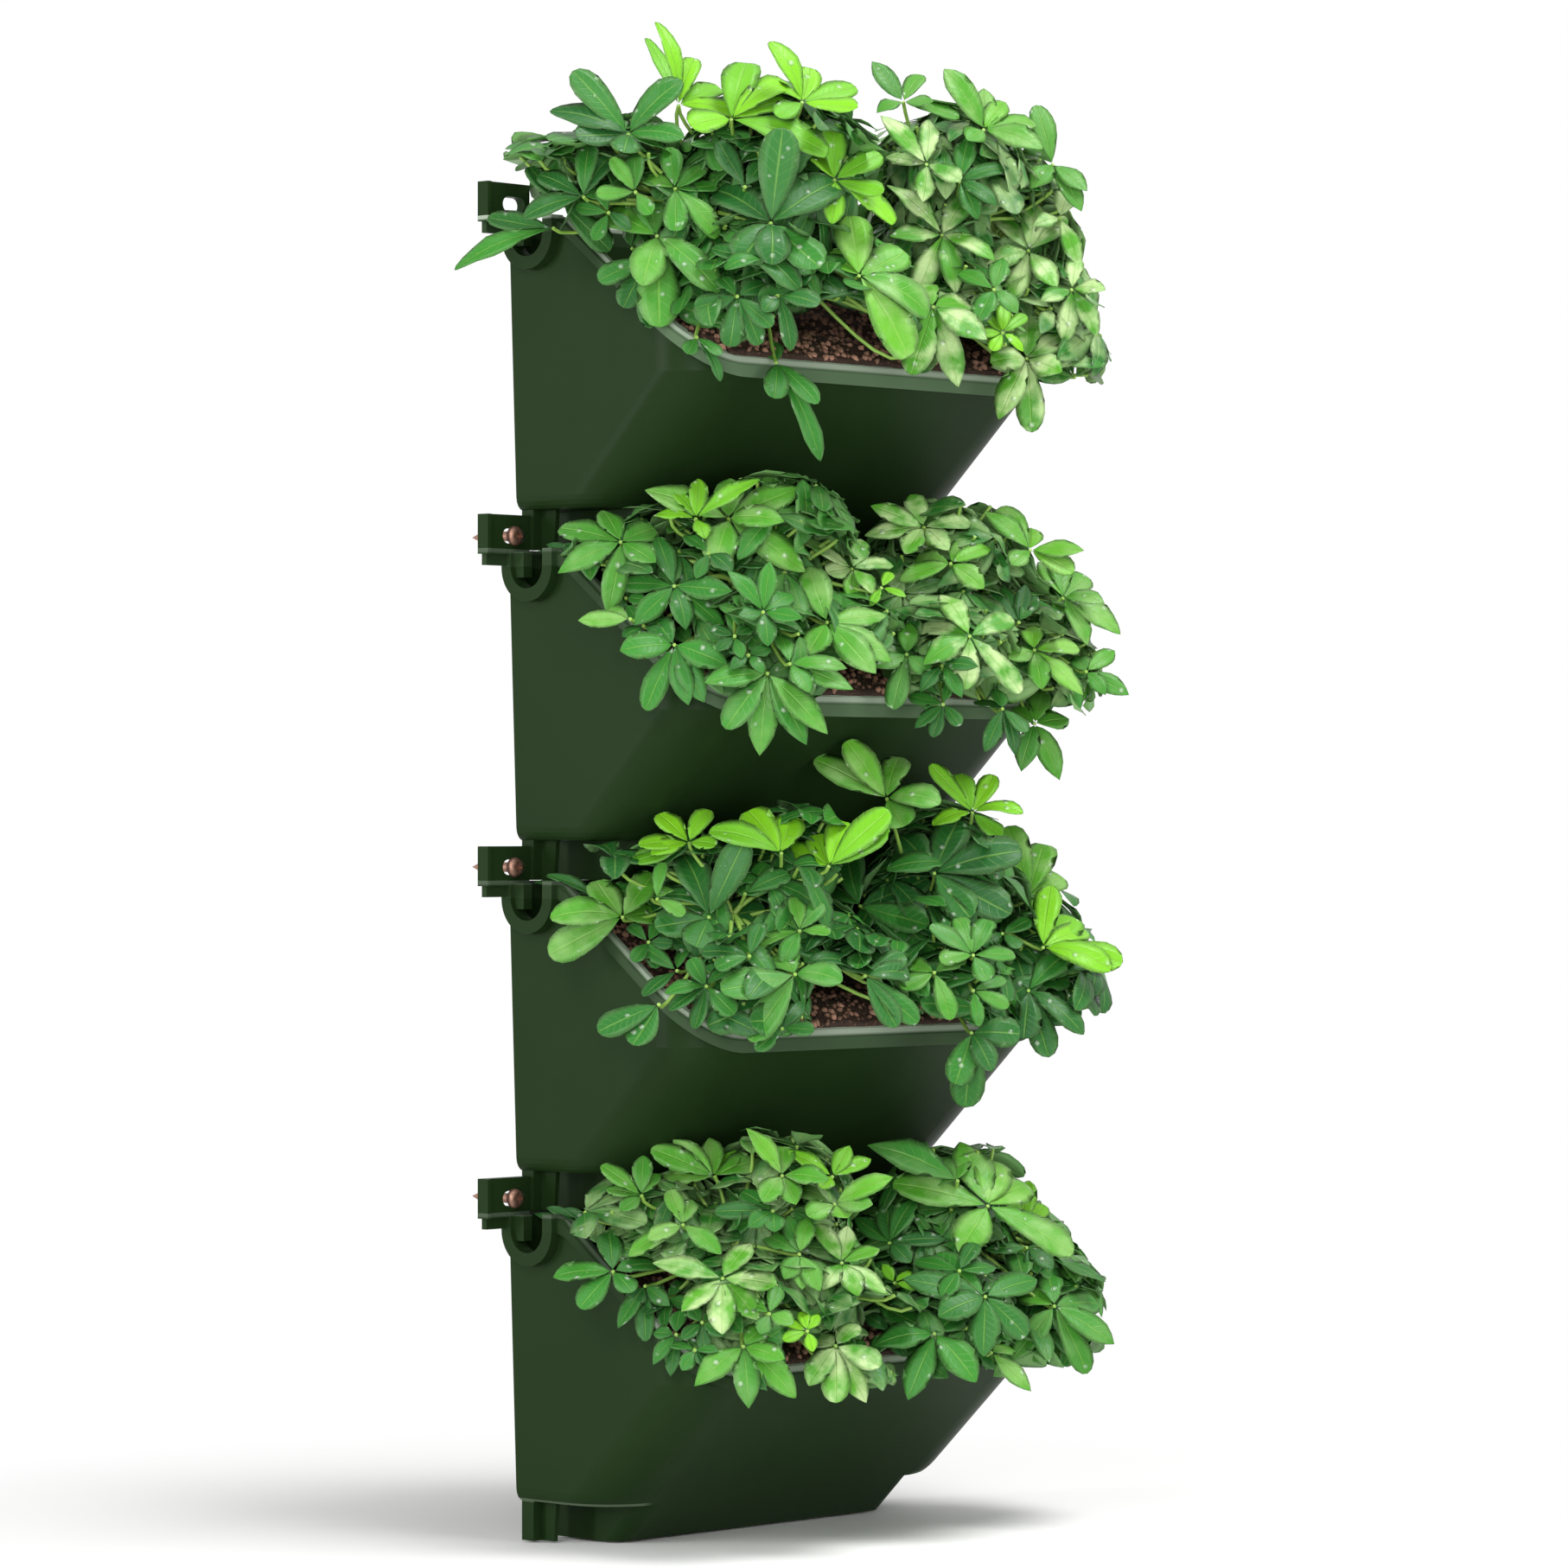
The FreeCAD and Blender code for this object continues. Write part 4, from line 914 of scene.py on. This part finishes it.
# Whorls that fill the crown
FILL_SPACING = 12 * MM
FILL_TRIES = 2600
FILL_LENGTHS = (25, 36)
FILL_SHARES = (0.35, 0.7, 1.0)
FILL_AXIS = (0.7, 0.55)
FILL_SCATTER = 0.25
SEEN_FACING = -0.1
LOW_FACING = -0.7
POT_FACING = (0.45, 0.2)
SINK_SEEN = 4
SINK_HIDDEN = 2
INNER_EVERY = 4
CORE_SHARE = 0.62
SHADED_TONE = 0.4
LIT_TONE = 0.9
FEWEST_LEAFLETS = 3
LEAFLET_COUNTS = (6, 9)
LENGTH_SPREAD = (0.72, 1.12)
ANGLE_SPREAD = 0.25
DROOPS = (8, 34)
DROOP_SPREAD = 12
DROOP_LIFTS = (0, 22, 44)
SAG = 0.1

# Small leaves in the darkest tone beside a neck, as painted shade
TUCK_HUB = (-103, -42, -25)
TUCK_TIPS = ((-112, -8, -17), (-114, -18, -14), (-112, -28, -14))
TUCK_AXIS = Vector((-0.7, -0.4, 0.6)).normalized()
TUCK_LENGTH = 26 * MM
TUCK_BREADTH = 0.5

# Stems and stalks
NEAR_FORKS = 8
STALK_STEPS = 9
STALK_SIDES = 7
STALK_LIFTS = range(0, 70, 10)
STALK_START = 0.2
STALK_BEND = 0.25
STALK_RADIUS = 0.95 * MM
STALK_FOOT = 1.5
STALK_THINNING = 0.6
STALK_TAPER = 1.6
STEM_FEET = ((-7, 0), (7, -3), (0, 7))
STEM_ROOT = -4
STEM_SPREAD = (2.2, 1.5)
STEM_TOP = 6
STEM_BOW = 0.45
STEM_BOW_RISE = 14
STEM_RADIUS = 2.4 * MM
STEM_TAPER = 0.55
GREEN_FROM = 0.3


class Plant:
    """Leaflets and stalks of one plant, gathered as points and paths before they are grown."""

    def __init__(self, name, level, top_row, rim_slack, forms, seed):
        self.random = np.random.default_rng(seed)
        self.crown = nodes[f"{name}_foliage"].data
        self.skin = surface_of([f"{name}_foliage"])
        low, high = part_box(f"{name}_stems")
        self.foot = Vector(((low.x + high.x) / 2, (low.y + high.y) / 2, low.z))
        crown_low, crown_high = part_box(f"{name}_foliage")
        self.heart = (crown_low + crown_high) / 2
        self.ear_top = EAR_TOP + level * PITCH
        self.top_row = top_row
        self.rim_slack = rim_slack * MM
        self.forms = forms
        self.missed = 0
        self.hubs = []
        self.shown = []
        self.leaves = []
        self.paths = []
        self.forks = []

    def is_in_way(self, point):
        """True where a point hides what the photograph shows, or leaves the crown's outline."""
        column, row = pixel_of(point)
        if row < self.top_row or point.x > LEAF_FAR or hides_bare_spot(column, row):
            return True
        beside = np.hypot(shown_spots[:, 0] - column, shown_spots[:, 1] - row) < SHOWN_RADIUS
        if (beside & (shown_spots[:, 2] > depth_of(point))).any():
            return True
        reach = min(-point.y, RIM_FRONT_REACH)
        rim_drop = RIM_BACK_DROP + max(0.0, reach - RIM_BEND_REACH) * RIM_SLOPE
        if point.z < self.ear_top - rim_drop + self.rim_slack:
            return True
        inner = point + (self.heart - point).normalized() * OUTLINE_SLACK
        return self.skin.ray_cast(CAMERA_PLACE, (inner - CAMERA_PLACE).normalized())[0] is None

    def vary(self, low, high):
        """A number between two others, at random."""
        return float(self.random.uniform(low, high))

    def scatter(self, size):
        """A small step in any direction, at random."""
        return Vector([self.vary(-size, size) for _ in range(3)])

    def from_pixel(self, column, row):
        """Point and facing on the outside of the crown that one pixel shows."""
        way = sight_line(column, row)
        point, facing, _, _ = self.skin.ray_cast(CAMERA_PLACE, way)
        if point is None:
            near = [self.skin.find_nearest(CAMERA_PLACE + way * d) for d in SIGHT_DEPTHS]
            best = min(range(len(near)), key=lambda i: near[i][3])
            point = CAMERA_PLACE + way * float(SIGHT_DEPTHS[best])
            facing = near[best][1]
        wall, wall_facing, _, distance = hard.ray_cast(CAMERA_PLACE, way)
        if wall is not None and distance < (point - CAMERA_PLACE).length:
            point = wall - way * HUB_CLEAR
            facing = wall_facing
        return point, facing

    def leaflet(self, hub, axis, tip, length, tone, pale, breadth=1.0):
        """One leaflet from a stalk's end to a tip, if nothing hard is in its way."""
        form = int(self.random.choice(self.forms))
        bend = math.radians(LEAF_FORMS[form][1]) / 2
        chord = tip - hub
        blade = chord.length * bend / math.sin(bend)
        way = chord.normalized()
        square = (axis - way * axis.dot(way)).normalized()
        across = square.cross(way)
        wide = [hub + chord * WIDEST_SHARE + across * length * breadth * s for s in WIDEST_SIDES]
        if not all(is_clear(hub, goal) for goal in (tip, *wide)):
            return False
        ahead = way * math.cos(bend) + square * math.sin(bend)
        above = square * math.cos(bend) - way * math.sin(bend)
        turn = Matrix((ahead, across, above)).transposed().to_quaternion()
        shade = min(1.0, max(0.0, tone + self.vary(-TONE_SPREAD, TONE_SPREAD)))
        size = (blade, length * breadth * self.vary(*WIDTH_SPREAD), blade)
        self.leaves.append((hub + ahead * MM, tuple(turn), size, form, shade, pale, tip))
        return True

    def whorl(self, hub, axis, length, tone, pale):
        """Leaflets spread round the end of one stalk."""
        if self.is_in_way(hub):
            return
        count = int(self.random.integers(*LEAFLET_COUNTS))
        spin = self.vary(0, math.tau)
        droop = self.vary(*DROOPS)
        side = axis.orthogonal().normalized()
        other = axis.cross(side)
        before = len(self.leaves)
        for i in range(count):
            angle = spin + math.tau * (i + self.vary(-ANGLE_SPREAD, ANGLE_SPREAD)) / count
            outward = side * math.cos(angle) + other * math.sin(angle)
            blade = length * self.vary(*LENGTH_SPREAD)
            for lift in DROOP_LIFTS:
                fall = math.radians(droop + self.vary(-DROOP_SPREAD, DROOP_SPREAD) - lift)
                way = outward * math.cos(fall) - axis * math.sin(fall) - UP * SAG
                tip = hub + way.normalized() * blade
                if any(self.is_in_way(hub.lerp(tip, share)) for share in FILL_SHARES):
                    continue
                if self.leaflet(hub, axis, tip, blade, tone, pale):
                    break
        if len(self.leaves) < before + FEWEST_LEAFLETS:
            del self.leaves[before:]
            return
        self.hubs.append(hub)
        self.stalk(hub, axis)

    def stalk(self, hub, axis):
        """Curved stalk to a whorl from a fork near it, raised where something hard is in its way."""
        near = sorted(self.forks, key=lambda point: (point - hub).length)[:NEAR_FORKS]
        fork = near[int(self.random.integers(len(near)))]
        reach = hub - fork
        for lift in STALK_LIFTS:
            rise = UP * (reach.length * STALK_BEND + lift * MM)
            first = fork + reach * STALK_START + rise
            last = hub - axis * reach.length * STALK_BEND + UP * lift * MM
            path = []
            for step in range(STALK_STEPS + 1):
                t = step / STALK_STEPS
                s = 1 - t
                path.append(fork * s ** 3 + first * 3 * s * s * t + last * 3 * s * t * t + hub * t ** 3)
            if all(is_clear(a, b) for a, b in zip(path, path[1:])):
                break
        thinned = [STALK_THINNING * min(1.0, STALK_TAPER * i / STALK_STEPS) for i in range(len(path))]
        self.paths.append((path, [STALK_RADIUS * (STALK_FOOT - less) for less in thinned], GREEN_FROM))

    def stems(self):
        """Three woody stems that rise into the crown."""
        for aside, forward in STEM_FEET:
            foot = self.foot + Vector((aside, forward, STEM_ROOT)) * MM
            goal = self.heart + Vector((aside * STEM_SPREAD[0], forward * STEM_SPREAD[1], STEM_TOP)) * MM
            bow = foot.lerp(goal, STEM_BOW) + UP * STEM_BOW_RISE * MM
            shares = np.linspace(0, 1, STALK_STEPS + 1)
            path = [foot.lerp(bow, t).lerp(bow.lerp(goal, t), t) for t in shares]
            radii = [STEM_RADIUS * (1 - STEM_TAPER * i / STALK_STEPS) for i in range(len(path))]
            self.paths.append((path, radii, 0.0))
            self.forks.extend(path[STALK_STEPS // 3:])

    def tip_at(self, hub, way, length):
        """A tip on its sight line: a leaflet that looks short leans back, or forward if it hangs."""
        flat = CAMERA_PLACE + way * depth_of(hub) / way.dot(FORWARD)
        lean = math.sqrt(max(0.0, length ** 2 - (flat - hub).length_squared))
        back = min(lean, LEAN_BACK * length)
        shift = back if flat.z > hub.z else -min(lean, LEAN_FORWARD * length)
        tip = flat + way * shift
        while (tip.x < LEAF_LIMIT.x or tip.y < LEAF_LIMIT.y) and tip.y < -WALL_GAP:
            tip += way * MM
        return tip

    def show_whorls(self, rows):
        """The whorls that the photograph shows, each leaflet out to its own tip."""
        for column, row, pixels, kind, *tips in rows:
            point, facing = self.from_pixel(column, row)
            to_eye = (CAMERA_PLACE - point).normalized()
            length = pixels * depth_of(point) / FOCAL_PIXELS
            axis = to_eye * EYE_PULL + UP * UP_PULL + facing * CROWN_PULL + self.scatter(SHOWN_SCATTER)
            axis = axis.normalized()
            before = len(self.leaves)
            for steps, nearer in itertools.product(TIP_STEPS, HUB_STEPS):
                hub = point + to_eye * nearer * MM
                del self.leaves[before:]
                if all([self.show_leaflet(hub, axis, place, length, kind, steps) for place in tips]):
                    break
            self.missed += before + len(tips) - len(self.leaves)
            for *_, tip in self.leaves[before:]:
                self.shown += [hub.lerp(tip, share) for share in SHOWN_SHARES]
            self.hubs.append(hub)
            self.stalk(hub, axis)

    def show_leaflet(self, hub, axis, place, length, kind, steps):
        """One leaflet out to a pixel, its tip nearer to the camera where something hard is in its way."""
        way = sight_line(*place)
        tip = self.tip_at(hub, way, length)
        for nearer in steps:
            goal = tip - way * nearer * MM
            if goal.x > LEAF_FAR or not is_clear(CAMERA_PLACE, goal):
                continue
            if self.leaflet(hub, axis, goal, length, *KINDS[kind]):
                return True
        return False

    def fill_whorls(self, tone, pale, covered):
        """Whorls over the rest of the crown and inside it, with painted shade: darker inside and on the side
        that shows.
        """
        faces = self.crown.polygons
        areas = np.array([face.area for face in faces])
        picks = self.random.choice(len(areas), size=FILL_TRIES, p=areas / areas.sum())
        for number, index in enumerate(picks):
            face = faces[int(index)]
            inner = number % INNER_EVERY == 0
            seen = face.normal.dot(FORWARD) < SEEN_FACING
            point = face.center - face.normal * (SINK_SEEN if seen else SINK_HIDDEN) * MM
            if inner:
                point = self.heart.lerp(face.center, CORE_SHARE)
            low_side = face.normal.z < LOW_FACING
            against_pot = covered and face.normal.y > POT_FACING[0] and face.normal.z > POT_FACING[1]
            crowded = any((point - hub).length < FILL_SPACING for hub in self.hubs)
            if low_side or against_pot or crowded:
                continue
            axis = face.normal * FILL_AXIS[0] + UP * FILL_AXIS[1] + self.scatter(FILL_SCATTER)
            length = self.vary(*FILL_LENGTHS) * MM
            # Painted shade: leaflets inside the crown and on its side that shows get a darker tone.
            shade = tone * (SHADED_TONE if inner or seen else LIT_TONE)
            self.whorl(point, axis.normalized(), length, shade, pale)

    def add_shade_leaves(self):
        """Small leaves in the darkest tone beside the neck of the pot above: painted shade in that corner."""
        corner = Vector((0, 0, self.ear_top))
        hub = corner + Vector(TUCK_HUB) * MM
        for place in TUCK_TIPS:
            tip = corner + Vector(place) * MM
            # Tone 0 and no paleness: the darkest green, standing in for the shade in this corner.
            self.leaflet(hub, TUCK_AXIS, tip, TUCK_LENGTH, 0.0, 0.0, breadth=TUCK_BREADTH)
        self.stalk(hub, TUCK_AXIS)

    def leaf_points(self, name):
        """The leaflets as a cloud of points with attributes."""
        spots, *fields, _ = zip(*self.leaves)
        mesh = bpy.data.meshes.new(name)
        mesh.from_pydata(spots, [], [])
        for (label, kind), values in zip(LEAF_FIELDS, fields):
            store(mesh, label, kind, values)
        return mesh

    def stalk_paths(self, name):
        """The stems and stalks as open paths with attributes."""
        points, edges, radii, along = [], [], [], []
        for path, widths, lowest in self.paths:
            first = len(points)
            points.extend(path)
            radii.extend(widths)
            along.extend(np.linspace(lowest, 1.0, len(path)))
            edges.extend((first + i, first + i + 1) for i in range(len(path) - 1))
        mesh = bpy.data.meshes.new(name)
        mesh.from_pydata(points, edges, [])
        store(mesh, "thickness", "FLOAT", radii)
        store(mesh, "along", "FLOAT", along)
        return mesh


FILLS = {
    # plant: tone and paleness of its other leaves, the row of the photograph that they stay under,
    # how far over the rim they stay, and the forms of all its leaflets
    "top_left": (0.42, 0.05, 60, 3, BLUNT),
    "top_right": (0.55, 0.5, 75, 3, POINTED),
    "second_left": (0.5, 0.1, 552, -6, POINTED),
    "second_right": (0.5, 0.35, 585, -6, POINTED),
    "third_left": (0.3, 0.0, 940, 3, BLUNT),
    "third_right": (0.3, 0.0, 895, 3, BLUNT),
    "bottom_left": (0.45, 0.35, 1310, -6, POINTED),
    "bottom_right": (0.42, 0.1, 1325, -6, POINTED),
}
plants = {}
for level, word in enumerate(LEVELS):
    for number, side in enumerate(SIDES):
        name = f"{word}_{side}"
        plant = Plant(name, level, *FILLS[name][2:], seed=100 + 10 * level + number)
        plant.stems()
        plant.show_whorls(WHORLS[name])
        plants[name] = plant
shown_points = [point for plant in plants.values() for point in plant.shown]
shown_spots = np.array([(*pixel_of(point), depth_of(point)) for point in shown_points])

for name, plant in plants.items():
    word, side = name.split("_")
    shown = len(plant.hubs)
    plant.fill_whorls(*FILLS[name][:2], covered=word != "top")
    if side == "left" and word != "top":
        plant.add_shade_leaves()
    leaves = grow(f"{name}_leaves", plant.leaf_points(name), leaf_tree,
                  {"Leaflets": leaf_shelf, "Finish": waxy_leaf})
    stalks = grow(f"{name}_stalks", plant.stalk_paths(name), stalk_tree,
                  {"Sides": STALK_SIDES, "Finish": green_stalk})
    for piece, node, slot in ((leaves, "foliage", "leaf"), (stalks, "stems", "stem")):
        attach(piece, body_for(word))
        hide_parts(f"{name}_{node}")
    print(name, "whorls:", shown, "+", len(plant.hubs) - shown, "leaflets:", len(plant.leaves),
          "no room for:", plant.missed, "faces:", len(leaves.data.polygons))

# %% [markdown]
# The stage is a plain pale floor just under the stack. Far from the object the floor turns into the white
# of the background, so that no horizon shows, and close to it it keeps the object's soft shadow.

# %% Stage
FLOOR_RADIUS = 30.0
SHADOW_REACH = (0.12, 0.45)
SKY_STRENGTH = 0.24
MIDDLE = Vector((0, -0.06, 0.25))
SOFTBOXES = {
    # name: place, width, height and watts
    "side_strip": ((-2.3, 1.0, 0.3), 0.35, 1.4, 35),
    "key_softbox": ((-2.2, -1.0, 1.6), 0.8, 0.8, 20),
    "low_softbox": ((-2.0, -1.6, 0.5), 0.9, 0.9, 25),
    "front_softbox": ((0.3, -2.2, 0.3), 1.0, 1.0, 12),
    "top_softbox": ((0.2, -1.2, 2.6), 1.2, 1.2, 72),
}


def is_seen(tree):
    """1 for rays from the camera, straight or by way of a gloss or glass, and 0 for those that light."""
    rays = add(tree, "ShaderNodeLightPath").node.outputs
    straight = add(tree, "MAXIMUM", (rays["Is Camera Ray"], rays["Is Glossy Ray"]))
    return add(tree, "MAXIMUM", (straight, rays["Is Transmission Ray"]))


floor_finish, tree, shader, place = new_material("matt_white_board", roughness=0.9)
shader.inputs["Base Color"].default_value = linear("#f4f4f2")
distance = add(tree, "ShaderNodeVectorMath", (place,), "Value", operation="LENGTH")
far = add(tree, "ShaderNodeMapRange", (distance, *SHADOW_REACH))
share = add(tree, "MULTIPLY", (is_seen(tree), far))
white = add(tree, "ShaderNodeEmission", {"Color": "#ffffff", "Strength": 1.0})
mixed = add(tree, "ShaderNodeMixShader", (share, shader.outputs[0], white))
tree.links.new(mixed, tree.nodes["Material Output"].inputs["Surface"])

disc = bmesh.new()
bmesh.ops.create_circle(disc, cap_ends=True, segments=64, radius=FLOOR_RADIUS)
bmesh.ops.translate(disc, verts=disc.verts, vec=(0, 0, cad_box[0].z - MM))
floor_mesh = bpy.data.meshes.new("floor")
disc.to_mesh(floor_mesh)
disc.free()
floor_mesh.materials.append(floor_finish)
floor = bpy.data.objects.new("floor", floor_mesh)
bpy.context.scene.collection.objects.link(floor)

world = bpy.data.worlds.new("studio")
world.use_nodes = True
bpy.context.scene.world = world
tree = world.node_tree
soft, white = [add(tree, "ShaderNodeBackground", {"Color": "#ffffff", "Strength": strength})
               for strength in (SKY_STRENGTH, 1.0)]
mixed = add(tree, "ShaderNodeMixShader", (is_seen(tree), soft, white))
tree.links.new(mixed, tree.nodes["World Output"].inputs["Surface"])

for name, (place, width, height, watts) in SOFTBOXES.items():
    data = bpy.data.lights.new(name, "AREA")
    data.shape = "RECTANGLE"
    data.size = width
    data.size_y = height
    data.energy = watts
    lamp = bpy.data.objects.new(name, data)
    lamp.location = place
    lamp.rotation_euler = (MIDDLE - Vector(place)).to_track_quat("-Z", "Y").to_euler()
    bpy.context.scene.collection.objects.link(lamp)

bpy.context.scene.view_settings.view_transform = "Standard"
